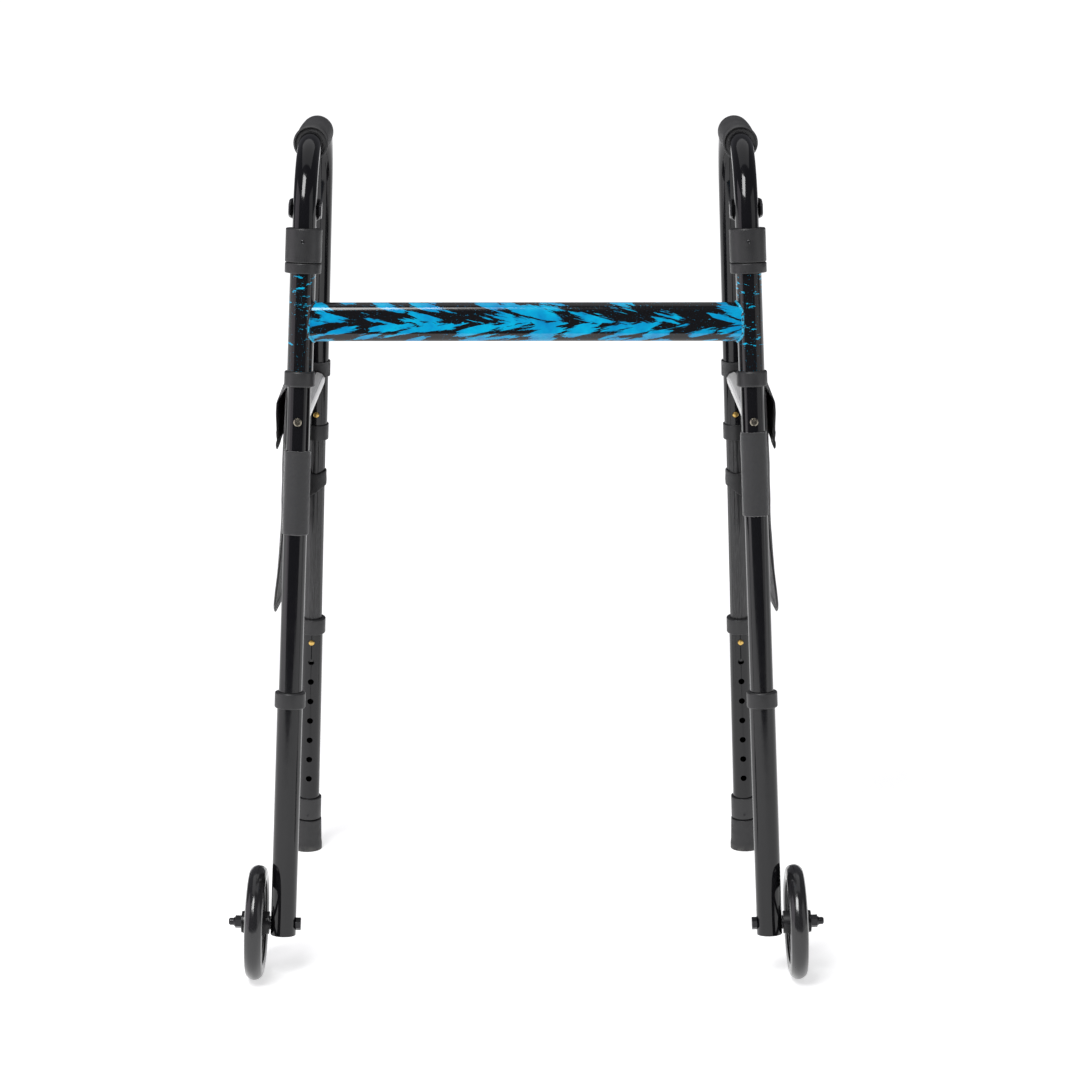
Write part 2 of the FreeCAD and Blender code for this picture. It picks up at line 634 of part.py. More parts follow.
def sleeve_collar(name, side):
    body = lipped(name, "sleeve_collar_od / 2", "tube_od / 2 + slide_gap + tube_wall + seat_gap",
                  "tube_od / 2 + slide_gap", "sleeve_collar_tall", False, "2.2")
    body.Placement = shifted(front_leg(side), z=leg("sleeve_low") - size("lip") - TOUCH)
    return body


def obround(name, long, tall, deep, place):
    """A bar of length long along X: flat faces front and back, round edges above and below."""
    core = box(name + "_core", long, deep, "(%s) - (%s)" % (tall, deep))
    core.Placement = Placement(Vector(0, -size(deep) / 2, -(size(tall) - size(deep)) / 2), Rotation())
    edges = []
    for tag, sign in (("low", -1), ("high", 1)):
        edge = cylinder("%s_%s" % (name, tag), "(%s) / 2" % deep, long)
        edge.Placement = Placement(Vector(0, 0, sign * (size(tall) - size(deep)) / 2), toward(X_AXIS))
        edges.append(edge)
    body = fuse(name, [core] + edges)
    body.Placement = place
    return body


def cross_bar():
    left = front_leg(1).multVec(Vector(0, 0, leg("bar_height")))
    right = front_leg(-1).multVec(Vector(0, 0, leg("bar_height")))
    place = Placement(right, Rotation(X_AXIS, -size("leg_lean")))
    span = "%.9f" % (left - right).Length
    outer = obround("cross_bar_outer", span, "bar_tall", "bar_deep", place)
    inner = obround("cross_bar_inner", span, "bar_tall - bar_wall * 2", "bar_deep - bar_wall * 2", place)
    tools = [inner]
    for tag, side in SIDES:
        tools.append(cylinder("cross_bar_cope_" + tag, "tube_od / 2 + slide_gap + tube_wall", "bar_tall * 3",
                              shifted(front_leg(side), z=leg("bar_height") - size("bar_tall * 1.5"))))
    node("cross_bar", cut("cross_bar", outer, tools))


# ---- side brace --------------------------------------------------------------------------------

def side_brace(name, side):
    length = "%.9f" % (BRACE_END - BRACE_START).Length
    place = Placement(BRACE_START, toward(BRACE_WAY))
    outer = cylinder(name + "_outer", "brace_od / 2", length, place)
    inner = cylinder(name + "_inner", "brace_od / 2 - brace_wall", length, place)
    tools = [inner]
    for tag, local, height in (("front", FRONT_LOCAL, "brace_front"), ("rear", REAR_LOCAL, "brace_rear")):
        tools.append(cylinder("%s_cope_%s" % (name, tag), "tube_od / 2", "tube_od * 4",
                              shifted(local, z=leg(height) - size("tube_od * 2"))))
    node(name, cut(name, outer, tools), side_plane(side))


def brace_bolts(name, side):
    bolts = []
    for tag, spot, way in (("front", BRACE_START, BRACE_WAY), ("rear", BRACE_END, BRACE_WAY * -1)):
        head = turned("%s_%s_head" % (name, tag), (
            ("0", "0"), ("bolt_head_od / 2", "0"), ("bolt_head_od / 2", "bolt_head * 0.5"),
            ("bolt_head_od / 2 - 1.2", "bolt_head"), ("1.5", "bolt_head"), ("1.5", "bolt_head * 0.4"),
            ("0", "bolt_head * 0.4")))
        seat = spot - way * size("tube_od / 2 + bolt_stand")
        head.Placement = Placement(seat, toward(way * -1))
        shank = cylinder("%s_%s_shank" % (name, tag), "bolt_radius", "bolt_length", Placement(seat, toward(way)))
        bolts.append(fuse("%s_%s" % (name, tag), [head, shank]))
    node(name, group(name, bolts), side_plane(side))


# ---- snap buttons ------------------------------------------------------------------------------

def snap_button(name, side, place, outer, facing, label):
    """A domed button through a tube wall. facing is +1 to the rear and -1 to the front."""
    top = "(%s) + button_proud" % outer
    body = turned(name, (
        ("0", "6.2"), ("button_flange_radius", "6.2"), ("button_flange_radius", "7.2"), ("button_radius", "7.2"),
        ("button_radius", "(%s) - 1.4" % top), ("button_radius * 0.8", "(%s) - 0.4" % top),
        ("button_radius * 0.45", top), ("0", top)))
    node(label, body, place.multiply(Placement(Vector(), toward(Y_AXIS * facing))))


def leaf_spring(name, place, facing, bore):
    """A bent leaf that rests under the button and against the far wall."""
    reach = "(%s) - 2.2" % bore
    lift = "(%s) - 2.2 + 6.0" % bore
    thing = extruded(name, (
        (lift, "30"), (lift, "30 - spring_thick"), ("(%s) - spring_thick" % reach, "0.4"),
        ("0.6 - spring_thick * 0.6", "30"), ("0.6 + spring_thick * 0.4", "30"),
        ("(%s) - spring_thick * 0.5" % reach, "3.2"), ("(%s) - 2.4" % lift, "30"),
    ), "spring_width")
    turn = Rotation(Y_AXIS * facing, Z_AXIS, X_AXIS * facing, "ZXY")
    across = -facing * size("spring_width / 2")
    back = -size(reach) * facing
    thing.Placement = place.multiply(Placement(Vector(across, back, -30), turn))
    return thing


# ---- rear leg ----------------------------------------------------------------------------------

def middle_tube(name, side):
    low = leg("insert_low")
    tall = "(insert_high - insert_low) * %.9f" % ALONG_LEG
    outer = cylinder(name + "_outer", "insert_od / 2", tall, Placement(Vector(0, 0, low), Rotation()))
    inner = cylinder(name + "_inner", "insert_od / 2 - tube_wall", tall, Placement(Vector(0, 0, low), Rotation()))
    tools = [inner]
    for index in range(FLUTES):
        angle = (index + 0.5) * 2 * math.pi / FLUTES
        reach = size("insert_od / 2 + flute_radius * 0.6")
        groove = cylinder("%s_groove%d" % (name, index), "flute_radius", tall)
        groove.Placement = Placement(Vector(reach * math.cos(angle), reach * math.sin(angle), low), Rotation())
        tools.append(groove)
    for tag, height in (("upper", "rear_upper_button_height"), ("lower", "rear_lower_button_height")):
        tools.append(in_plane("%s_hole_%s" % (name, tag),
                              Placement(Vector(0, -size("insert_od"), leg(height)), Rotation()),
                              "hole_radius", "insert_od"))
    node(name, cut(name, outer, tools), rear_leg(side))


def drilled_tube(name, label, place, outer, inner, low, high, drills):
    tall = "%.9f" % (high - low)
    start = Placement(Vector(0, 0, low), Rotation())
    tools = [cylinder(name + "_inner", inner, tall, start)] + drills
    return node(label, cut(name, cylinder(name + "_outer", outer, tall, start), tools), place)


def rear_lower(side_name, side):
    name = side_name + "_rear_lower_tube"
    drills = []
    for index in range(HOLES):
        along = leg("rear_lower_button_height") - index * size("hole_pitch")
        drills.append(in_plane("%s_hole%d" % (name, index),
                               Placement(Vector(0, -size("tube_od"), along), Rotation()),
                               "hole_radius", "tube_od"))
    drilled_tube(name, name, rear_leg(side), "tube_od / 2", "insert_od / 2 + slide_gap",
                 leg("lower_bottom"), leg("lower_top"), drills)
    node(side_name + "_rear_lower_collar",
         lipped(side_name + "_rear_lower_collar", "rear_lower_collar_od / 2", "tube_od / 2 + seat_gap",
                "insert_od / 2 + slide_gap", "rear_lower_collar_tall", True, "1.2"),
         shifted(rear_leg(side), z=leg("lower_top") + size("lip - rear_lower_collar_tall") + TOUCH))
    node(side_name + "_foot_ring",
         ring(side_name + "_foot_ring", "foot_ring_od / 2", "tube_od / 2 + seat_gap", "foot_ring_tall", "0.8"),
         shifted(rear_leg(side), z=leg("foot_ring_low")))


def foot_tip(name, side):
    """A flared rubber tip with a flat tread, worn level with the floor."""
    below = 3.0
    bore = "tube_od / 2 + seat_gap"
    body = turned(name + "_turned", (
        ("0", "0"), ("tip_bottom_od / 2", "0"), ("tip_bottom_od / 2", "10"), ("tip_bottom_od / 2 - 0.7", "16"),
        ("tip_top_od / 2", "tip_tall + 2"), (bore, "tip_tall + 2"), (bore, "lower_bottom + 3"),
        ("0", "lower_bottom + 3")))
    rounded(body, "1.2", (("tip_top_od / 2", "tip_tall + 2"),))
    body.Placement = shifted(rear_leg(side), z=-below)
    floor = box(name + "_floor", "200", "200", "40",
                Placement(rear_leg(side).multVec(Vector()) - Vector(100, 100, 40), Rotation()))
    node(name, cut(name, body, [floor]))


# ---- front leg ---------------------------------------------------------------------------------

def front_extension(side_name, side):
    name = side_name + "_front_extension"
    drills = []
    for index in range(FRONT_HOLES):
        along = leg("front_button_height") - index * size("hole_pitch")
        drills.append(in_plane("%s_hole%d" % (name, index),
                               Placement(Vector(0, 0, along), Rotation()), "hole_radius", "tube_od"))
    drills.append(cylinder(name + "_axle_hole", "axle_radius + pin_play", "tube_od * 2",
                           Placement(Vector(-size("tube_od"), 0, AXLE), toward(X_AXIS))))
    drilled_tube(name, name, front_leg(side), "tube_od / 2 + slide_gap + tube_wall", "tube_od / 2 + slide_gap",
                 AXLE - size("extension_below"), leg("extension_top"), drills)
    node(side_name + "_front_collar",
         lipped(side_name + "_front_collar", "front_collar_od / 2",
                "tube_od / 2 + slide_gap + tube_wall + seat_gap", "tube_od / 2 + slide_gap",
                "front_collar_tall", True, "2.0"),
         shifted(front_leg(side), z=leg("extension_top") + size("lip - front_collar_tall") + TOUCH))


def axle_frame(side):
    """Local Z runs outward along the axle, from the leg's axis."""
    return shifted(front_leg(side), z=AXLE, turn=toward(X_AXIS * side))


def hexagon(name, across, thickness, place):
    prism = bind(doc.addObject("Part::Prism", name), Circumradius=across, Height=thickness)
    prism.Polygon = 6
    prism.Placement = place
    return prism


LEG_FACE = "tube_od / 2 + slide_gap + tube_wall"
HUB_START = "wheel_offset - hub_length / 2"


def axle_bolt(name, side):
    head_at = -size(LEG_FACE) - 0.05
    head = hexagon(name + "_head", "axle_head_od / 2", "axle_head",
                   Placement(Vector(0, 0, head_at - size("axle_head")), Rotation()))
    shank = cylinder(name + "_shank", "axle_radius", "%.9f" % (size("axle_end") - head_at + 0.5),
                     Placement(Vector(0, 0, head_at - 0.5), Rotation()))
    tip = bind(doc.addObject("Part::Cone", name + "_tip"), Radius1="axle_radius", Radius2="axle_radius - 1.2")
    tip.Height = 1.2
    tip.Placement = Placement(Vector(0, 0, size("axle_end")), Rotation())
    node(name, fuse(name, [head, shank, tip]), axle_frame(side))


def axle_fasteners(name, side):
    """Spacer between the leg and the hub, then the outer washer and the nut."""
    bore = "axle_radius + pin_play"
    spacer = ring(name + "_spacer", "axle_radius + 3.5", bore, "%s - (%s) - 0.4" % (HUB_START, LEG_FACE))
    spacer.Placement = Placement(Vector(0, 0, size(LEG_FACE) + 0.1), Rotation())
    washer = ring(name + "_washer", "washer_od / 2", bore, "washer_thick", "0.5")
    washer.Placement = Placement(Vector(0, 0, size("washer_at")), Rotation())
    nut_at = size("washer_at + washer_thick")
    prism = hexagon(name + "_nut_body", "axle_head_od / 2", "nut_thick", Placement(Vector(0, 0, nut_at), Rotation()))
    drill = cylinder(name + "_nut_bore", bore, "nut_thick * 2", Placement(Vector(0, 0, nut_at - 1), Rotation()))
    nut = cut(name + "_nut", prism, [drill])
    node(name, group(name, [spacer, washer, nut]), axle_frame(side))


def wheel(side_name, side):
    place = shifted(axle_frame(side), z=size("wheel_offset"))
    bush_outer = "axle_radius + slide_gap + bush_wall"
    seat = "wheel_od / 2 - tyre_width + tyre_seat"
    half_rim = "rim_width / 2"

    hub = cylinder(side_name + "_hub_core", "hub_od / 2", "hub_length",
                   Placement(Vector(0, 0, -size("hub_length / 2")), Rotation()))
    rim = ring(side_name + "_hub_rim", seat, "rim_inner_od / 2", "rim_width")
    rim.Placement = Placement(Vector(0, 0, -size(half_rim)), Rotation())
    pieces = [hub, rim]
    for index in range(SPOKES):
        turn = Rotation(Z_AXIS, index * 360 / SPOKES + 90)
        spoke = box("%s_spoke%d" % (side_name, index), "rim_inner_od / 2 + 1 - hub_od / 2 + 2",
                    "spoke_wide", "spoke_thick")
        offset = Vector(size("hub_od / 2") - 2, -size("spoke_wide / 2"), -size("spoke_thick / 2"))
        spoke.Placement = Placement(Vector(), turn).multiply(Placement(offset, Rotation()))
        pieces.append(spoke)
    bore = cylinder(side_name + "_hub_bore", bush_outer, "hub_length * 2",
                    Placement(Vector(0, 0, -size("hub_length")), Rotation()))
    name = side_name + "_wheel_hub"
    node(name, cut(name, fuse(side_name + "_hub_solid", pieces), [bore]), place)

    tyre = bind(doc.addObject("Part::Torus", side_name + "_tyre_ring"),
                Radius1="wheel_od / 2 - tyre_width / 2", Radius2="tyre_width / 2")
    inside = cylinder(side_name + "_tyre_inside", "(%s) + seat_gap" % seat, "tyre_width * 2",
                      Placement(Vector(0, 0, -size("tyre_width")), Rotation()))
    name = side_name + "_wheel_tyre"
    node(name, cut(name, tyre, [inside]), place)

    bush = ring(side_name + "_bush_ring", "(%s) - 0.02" % bush_outer, "axle_radius + slide_gap", "hub_length")
    node(side_name + "_wheel_bush", bush, shifted(place, z=-size("hub_length / 2")))


# ---- pouch -------------------------------------------------------------------------------------

def pouch_outline(top, bottom, inset):
    """Corners in Y from the front foot and Z, with its ends parallel to the legs."""
    slope = math.tan(LEAN)
    corners = []
    for height, rear in ((bottom, False), (bottom, True), (top, True), (top, False)):
        shift = "(%s) * %.9f" % (height, slope * ALONG_SIDE)
        front = "pouch_leg_gap + %s + %s" % (inset, shift)
        back = "leg_base - pouch_leg_gap - %s - %s" % (inset, shift)
        corners.append((back if rear else front, height))
    return tuple(corners)


def pouch(name, side):
    foot = Placement(Vector(0, FRONT_FOOT, 0), Rotation())

    def slab(tag, points, thickness, start):
        piece = extruded("%s_%s" % (name, tag), points, thickness)
        low = size(start) if side > 0 else -size(start) - size(thickness)
        piece.Placement = foot.multiply(Placement(Vector(low, 0, 0), FLAT_TO_SIDE))
        return piece

    shell = slab("shell", pouch_outline("pouch_top", "pouch_bottom", "0"), "pouch_thick", "pouch_inner")
    hollow = slab("hollow", pouch_outline("pouch_top + 20", "pouch_bottom + pouch_wall", "pouch_wall"),
                  "pouch_thick - pouch_wall * 2", "pouch_inner + pouch_wall")
    flap = slab("flap", pouch_outline("pouch_top", "pouch_top - flap_tall", "0"), "flap_thick",
                "pouch_inner + pouch_thick")
    body = fuse(name, [cut(name + "_bag", shell, [hollow]), flap])
    node(name, body, side_plane(side))


def pouch_straps(side_name, side):
    name = side_name + "_pouch_straps"
    wrap_low = "wrap_low_" + side_name
    straps = []
    for tag, local, low, tall, inner in (
        ("wrap", FRONT_LOCAL, wrap_low, "wrap_tall", "tube_od / 2"),
        ("upper", REAR_LOCAL, "upper_strap_low", "upper_strap_tall", "tube_od / 2"),
        ("lower", REAR_LOCAL, "lower_strap_low", "lower_strap_tall", "insert_od / 2"),
    ):
        band = ring("%s_%s" % (name, tag), "%s + seat_gap + strap_thick" % inner, inner + " + seat_gap", tall)
        band.Placement = shifted(local, z=leg(low))
        if tag == "upper":
            way = cylinder("%s_gap" % name, "brace_od / 2 + %s" % FIT, "%.9f" % (BRACE_END - BRACE_START).Length,
                           Placement(BRACE_START, toward(BRACE_WAY)))
            head = cylinder("%s_head_gap" % name, "bolt_head_od / 2 + %s" % FIT, "tube_od",
                            Placement(BRACE_END, toward(BRACE_WAY)))
            band = cut("%s_%s_open" % (name, tag), band, [way, head])
        straps.append(band)
    node(name, group(name, straps), side_plane(side))


# ---- the whole frame ---------------------------------------------------------------------------

cross_bar()
node("hinge_sleeves", group("hinge_sleeves", [hinge_sleeve(tag + "_sleeve", side) for tag, side in SIDES]))
node("lock_rings", group("lock_rings", [
    lock_ring(tag + "_lock_ring", side, "fold_" + tag) for tag, side in SIDES]))
node("sleeve_collars", group("sleeve_collars", [sleeve_collar(tag + "_sleeve_collar", side) for tag, side in SIDES]))

for tag, side in SIDES:
    side_tube(tag + "_side_tube", side)
    hand_grip(tag + "_hand_grip", side)
    lock_housing(tag + "_lock_housing", side)
    release_paddle(tag + "_release_paddle", side)
    lock_pin(tag + "_lock_pin", side)
    paddle_pivot(tag, side)
    paddle_spring(tag + "_paddle_spring", side)
    side_brace(tag + "_side_brace", side)
    brace_bolts(tag + "_brace_bolts", side)
    middle_tube(tag + "_rear_middle_tube", side)
    node(tag + "_rear_upper_collar",
         lipped(tag + "_rear_upper_collar", "rear_upper_collar_od / 2", "tube_od / 2 + seat_gap",
                "insert_od / 2 + seat_gap", "rear_upper_collar_tall", False, "0.8"),
         shifted(rear_leg(side), z=leg("upper_end") - size("lip") - TOUCH))
    rear_lower(tag, side)
    foot_tip(tag + "_foot_tip", side)
    front_extension(tag, side)
    axle_bolt(tag + "_axle_bolt", side)
    axle_fasteners(tag + "_axle_fasteners", side)
    wheel(tag, side)
    pouch(tag + "_pouch", side)
    pouch_straps(tag, side)
    springs = []
    for place, height, outer, bore, facing, name in (
        (rear_leg(side), "rear_upper_button_height", "tube_od / 2", "insert_od / 2 - tube_wall", -1, "rear_upper"),
        (rear_leg(side), "rear_lower_button_height", "tube_od / 2", "insert_od / 2 - tube_wall", -1, "rear_lower"),
        (front_leg(side), "front_button_height", LEG_FACE, "tube_od / 2 - tube_wall", 1, "front"),
    ):
        spot = shifted(place, z=leg(height))
        label = "%s_%s_button" % (tag, name)
        snap_button(label, side, spot, outer, facing, label)
        springs.append(leaf_spring("%s_%s_leaf" % (tag, name), spot, facing, bore))
    node(tag + "_button_springs", group(tag + "_button_springs", springs))

doc.recompute()

for thing in doc.Objects:
    if "Invalid" in thing.State or "Error" in thing.State:
        raise RuntimeError("%s (%s) failed: %s" % (thing.Name, thing.Label, thing.State))
for label, thing in NODES:
    if thing.Shape.isNull() or not thing.Shape.isValid() or not thing.Shape.Solids:
        raise RuntimeError(label + " has no valid solid")

os.makedirs("parts", exist_ok=True)
for label, thing in NODES:
    thing.Shape.exportStep(os.path.join("parts", label + ".step"))
    bounds = thing.Shape.BoundBox
    print("%-28s solids %d volume %10.1f  z %7.1f..%7.1f" % (
        label, len(thing.Shape.Solids), thing.Shape.Volume, bounds.ZMin, bounds.ZMax))
print("nodes", len(NODES), "front foot %.2f rear foot %.2f axle %.2f" % (FRONT_FOOT, REAR_FOOT, AXLE))
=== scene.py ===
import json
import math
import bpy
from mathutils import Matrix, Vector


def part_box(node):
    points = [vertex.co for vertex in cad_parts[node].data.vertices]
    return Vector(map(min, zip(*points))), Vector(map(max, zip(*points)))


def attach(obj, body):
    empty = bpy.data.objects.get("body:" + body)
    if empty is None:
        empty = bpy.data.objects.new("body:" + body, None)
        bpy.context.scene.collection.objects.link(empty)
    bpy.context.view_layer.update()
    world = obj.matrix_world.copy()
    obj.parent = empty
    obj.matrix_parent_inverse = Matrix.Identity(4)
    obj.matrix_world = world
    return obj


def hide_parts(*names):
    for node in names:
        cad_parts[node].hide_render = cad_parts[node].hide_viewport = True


bl_info = {
    "name": "Folding Walking Frame",
    "version": (1, 0, 0),
    "blender": (4, 5, 0),
    "location": "View3D > Sidebar > Walking Frame",
    "description": "Dresses a folding walking frame with its paint, grips, paddles, straps and pouches",
    "category": "Add Mesh",
}

import bmesh
import bpy
from bpy.props import FloatProperty, FloatVectorProperty, PointerProperty
from mathutils import Matrix, Vector, noise

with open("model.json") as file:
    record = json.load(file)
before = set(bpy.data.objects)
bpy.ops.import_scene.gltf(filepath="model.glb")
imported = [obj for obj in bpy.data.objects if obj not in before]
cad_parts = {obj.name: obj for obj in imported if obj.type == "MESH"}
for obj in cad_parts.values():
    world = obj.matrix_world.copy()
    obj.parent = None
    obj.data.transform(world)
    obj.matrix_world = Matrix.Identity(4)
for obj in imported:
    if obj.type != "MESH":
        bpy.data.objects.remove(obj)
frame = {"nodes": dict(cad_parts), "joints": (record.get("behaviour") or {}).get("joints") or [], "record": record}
NODES = frame["nodes"]
JOINTS = {joint["name"]: joint for joint in frame["joints"]}
MOUNTS = {mount["name"]: mount for mount in frame["record"]["mounts"]}
SIDES = (("left", 1), ("right", -1))
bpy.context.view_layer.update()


# ---- where the legs stand ----------------------------------------------------------------------

def axes(origin, across, up):
    """A matrix with X across, Z up the leg and Y completing them."""
    x, z = Vector(across).normalized(), Vector(up).normalized()
    turned = Matrix((x, z.cross(x), z)).transposed().to_4x4()
    turned.translation = Vector(origin)
    return turned


def front_leg(tag, side):
    fold, wheel = JOINTS[tag + "_fold"], JOINTS[tag + "_wheel_spin"]
    return axes(fold["pos_m"], wheel["axis"], Vector(fold["axis"]) * side)


def rear_leg(tag, side):
    across, up = JOINTS[tag + "_wheel_spin"]["axis"], JOINTS[tag + "_rear_height"]["axis"]
    return axes(MOUNTS[tag + "_tip_rest"]["pos_m"], across, up)


def side_plane(tag, side):
    """X outward across the side frame, Y to the rear, Z up in its plane, from the floor."""
    across = Vector(JOINTS[tag + "_wheel_spin"]["axis"])
    foot = Vector(JOINTS[tag + "_fold"]["pos_m"])
    return axes((foot.x, 0, 0), across, across.cross(Vector((0, 1, 0))))


LEG = front_leg("left", 1)
LEAN = math.atan2(LEG.col[2].y, math.hypot(LEG.col[2].x, LEG.col[2].z))
ALONG = 1 / LEG.col[2].z
FRONT_FOOT = JOINTS["left_fold"]["pos_m"][1]
REAR_FOOT = MOUNTS["left_tip_rest"]["pos_m"][1]
AXLE = (Vector(JOINTS["left_wheel_spin"]["pos_m"]) - LEG.translation).dot(LEG.col[2].to_3d())


# ---- sizes and colours a user may change -------------------------------------------------------

def length(name, description, default):
    return FloatProperty(name=name, description=description, default=default, min=0.0, unit="LENGTH")


def colour(name, description, default):
    return FloatVectorProperty(
        name=name, description=description, default=default, size=3, min=0.0, max=1.0, subtype="COLOR")


class WALKER_PG_paint(bpy.types.PropertyGroup):
    black: colour("Black paint", "Colour of the powder coat", (0.004, 0.004, 0.005))
    splash: colour("Splash", "Bright strokes on the cross bar and sleeves", (0.0, 0.39, 0.64))
    plastic: colour("Plastic", "Collars, rings and housings", (0.022, 0.022, 0.023))
    rubber: colour("Rubber", "Grips and tips", (0.034, 0.034, 0.035))
    cloth: colour("Cloth", "Pouch cloth", (0.013, 0.013, 0.014))
    brass: colour("Brass", "Snap buttons and bolt heads", (0.80, 0.53, 0.16))
    # Pale colour of the painted reflection laid along each side brace's inner side.
    label: colour("Label", "Blank label on the side braces", (0.62, 0.62, 0.61))


class WALKER_PG_grip(bpy.types.PropertyGroup):
    ring: length("Front ring", "Radius of the ring at the grip's front end", 0.0192)
    middle: length("Middle", "Radius half way along the grip", 0.0188)
    waist: length("Waist", "Radius near the grip's ends", 0.0180)
    bore: length("Bore", "Radius of the tube inside the grip", 0.01275)
    recess: length("Recess", "Depth of the recess in the front face", 0.0032)


class WALKER_PG_paddle(bpy.types.PropertyGroup):
    pivot_back: length("Pivot back", "Pivot axis behind the upright's axis", 0.0241)
    pivot_height: length("Pivot height", "Pivot axis above the floor", 0.822)
    top: length("Top", "Top of the ears above the floor", 0.8575)
    reach: length("Reach", "Half the width across the ears", 0.0164)
    thick: length("Thickness", "Thickness of the moulding", 0.0030)


class WALKER_PG_pouch(bpy.types.PropertyGroup):
    inner: length("Inner face", "Inner panel to the side plane", 0.0136)
    depth: length("Depth", "Bulge of the outer panel", 0.0088)
    top: length("Top", "Mouth above the floor", 0.648)
    bottom: length("Bottom", "Bottom edge above the floor", 0.400)
    gap: length("Gap", "Ends of the pouch to the leg axes", 0.0175)
    flap: length("Flap", "Bottom edge of the flap above the floor", 0.5855)
    tape: length("Binding", "Width of the binding tape on each face", 0.0085)


class WALKER_PG_stage(bpy.types.PropertyGroup):
    lens: FloatProperty(name="Lens", description="Focal length", default=111.74, unit="CAMERA")
    height: length("Camera height", "Camera above the floor", 1.3128)
    distance: length("Camera distance", "Camera in front of the frame's middle", 3.7217)
    pitch: FloatProperty(name="Pitch", description="Camera tilt down", default=math.radians(13.053),
                         subtype="ANGLE")
    yaw: FloatProperty(name="Yaw", description="Camera turn to its right", default=math.radians(0.245),
                       subtype="ANGLE")


# ---- materials ---------------------------------------------------------------------------------

class Finish:
    """A material with one surface shader, built up from plain steps."""

    made = {}

    def __init__(self, name, base, rough, metal=0.0, **sockets):
        self.material = bpy.data.materials.new(name)
        self.material.use_nodes = True
        self.tree = self.material.node_tree
        self.shader = self.tree.nodes["Principled BSDF"]
        self.shader.inputs["Base Color"].default_value = (*base, 1)
        self.shader.inputs["Roughness"].default_value = rough
        self.shader.inputs["Metallic"].default_value = metal
        for socket, value in sockets.items():
            self.shader.inputs[socket.replace("_", " ")].default_value = value
        self.material.diffuse_color = (*base, 1)
        Finish.made[name] = self.material

    def node(self, kind, **settings):
        made = self.tree.nodes.new(kind)
        for key, value in settings.items():
            if hasattr(made, key) and key not in made.inputs:
                setattr(made, key, value)
            else:
                made.inputs[key].default_value = value
        return made

    def link(self, source, target):
        self.tree.links.new(source, target)
        return target.node

    def places(self, scale=(1, 1, 1), turn=(0, 0, 0), uv=False, move=(0, 0, 0)):
        """Object coordinates (or the piece's UV map), scaled and turned."""
        source = self.node("ShaderNodeTexCoord").outputs["UV" if uv else "Object"]
        mapping = self.node("ShaderNodeMapping")
        mapping.inputs["Scale"].default_value = scale
        mapping.inputs["Rotation"].default_value = turn
        mapping.inputs["Location"].default_value = move
        self.link(source, mapping.inputs["Vector"])
        return mapping.outputs["Vector"]

    def grain(self, scale, detail=4.0, rough=0.55, where=None, distortion=0.0):
        texture = self.node("ShaderNodeTexNoise")
        texture.inputs["Scale"].default_value = scale
        texture.inputs["Detail"].default_value = detail
        texture.inputs["Roughness"].default_value = rough
        texture.inputs["Distortion"].default_value = distortion
        self.link(where or self.places(), texture.inputs["Vector"])
        return texture.outputs["Fac"]

    def span(self, value, low, high, start=0.0, end=1.0, smooth=False):
        """Maps a value from low..high to start..end."""
        ramp = self.node("ShaderNodeMapRange")
        ramp.interpolation_type = "SMOOTHSTEP" if smooth else "LINEAR"
        for name, number in (("From Min", low), ("From Max", high), ("To Min", start), ("To Max", end)):
            ramp.inputs[name].default_value = number
        self.link(value, ramp.inputs["Value"])
        return ramp.outputs["Result"]

    def maths(self, operation, first, second=None, third=None):
        made = self.node("ShaderNodeMath")
        made.operation = operation
        for index, value in enumerate((first, second, third)):
            if value is None:
                continue
            if isinstance(value, (int, float)):
                made.inputs[index].default_value = value
            else:
                self.link(value, made.inputs[index])
        return made.outputs["Value"]

    def blend(self, factor, first, second):
        """Mixes two colours, or a colour over what is already made."""
        mix = self.node("ShaderNodeMix")
        mix.data_type = "RGBA"
        self.link(factor, mix.inputs["Factor"])
        for socket, value in ((mix.inputs["A"], first), (mix.inputs["B"], second)):
            if isinstance(value, tuple):
                socket.default_value = (*value, 1)
            else:
                self.link(value, socket)
        return mix.outputs["Result"]

    def bump(self, height, distance, strength=1.0):
        made = self.node("ShaderNodeBump")
        made.inputs["Distance"].default_value = distance
        made.inputs["Strength"].default_value = strength
        self.link(height, made.inputs["Height"])
        self.link(made.outputs["Normal"], self.shader.inputs["Normal"])

    def colour_from(self, output):
        self.link(output, self.shader.inputs["Base Color"])

    def rough_from(self, output):
        self.link(output, self.shader.inputs["Roughness"])


def black_paint(paint):
    """Glossy powder coat with a faint orange-peel ripple."""
    coat = Finish("black_paint", tuple(paint.black), 0.16, Coat_Weight=0.08, Coat_Roughness=0.04, IOR=1.45)
    dust = coat.grain(900, 3)
    coat.rough_from(coat.span(coat.grain(60, 4), 0.3, 0.7, 0.07, 0.14))
    coat.bump(coat.maths("ADD", coat.grain(420, 2), coat.maths("MULTIPLY", dust, 0.3)), 0.00002, 0.5)
    return coat


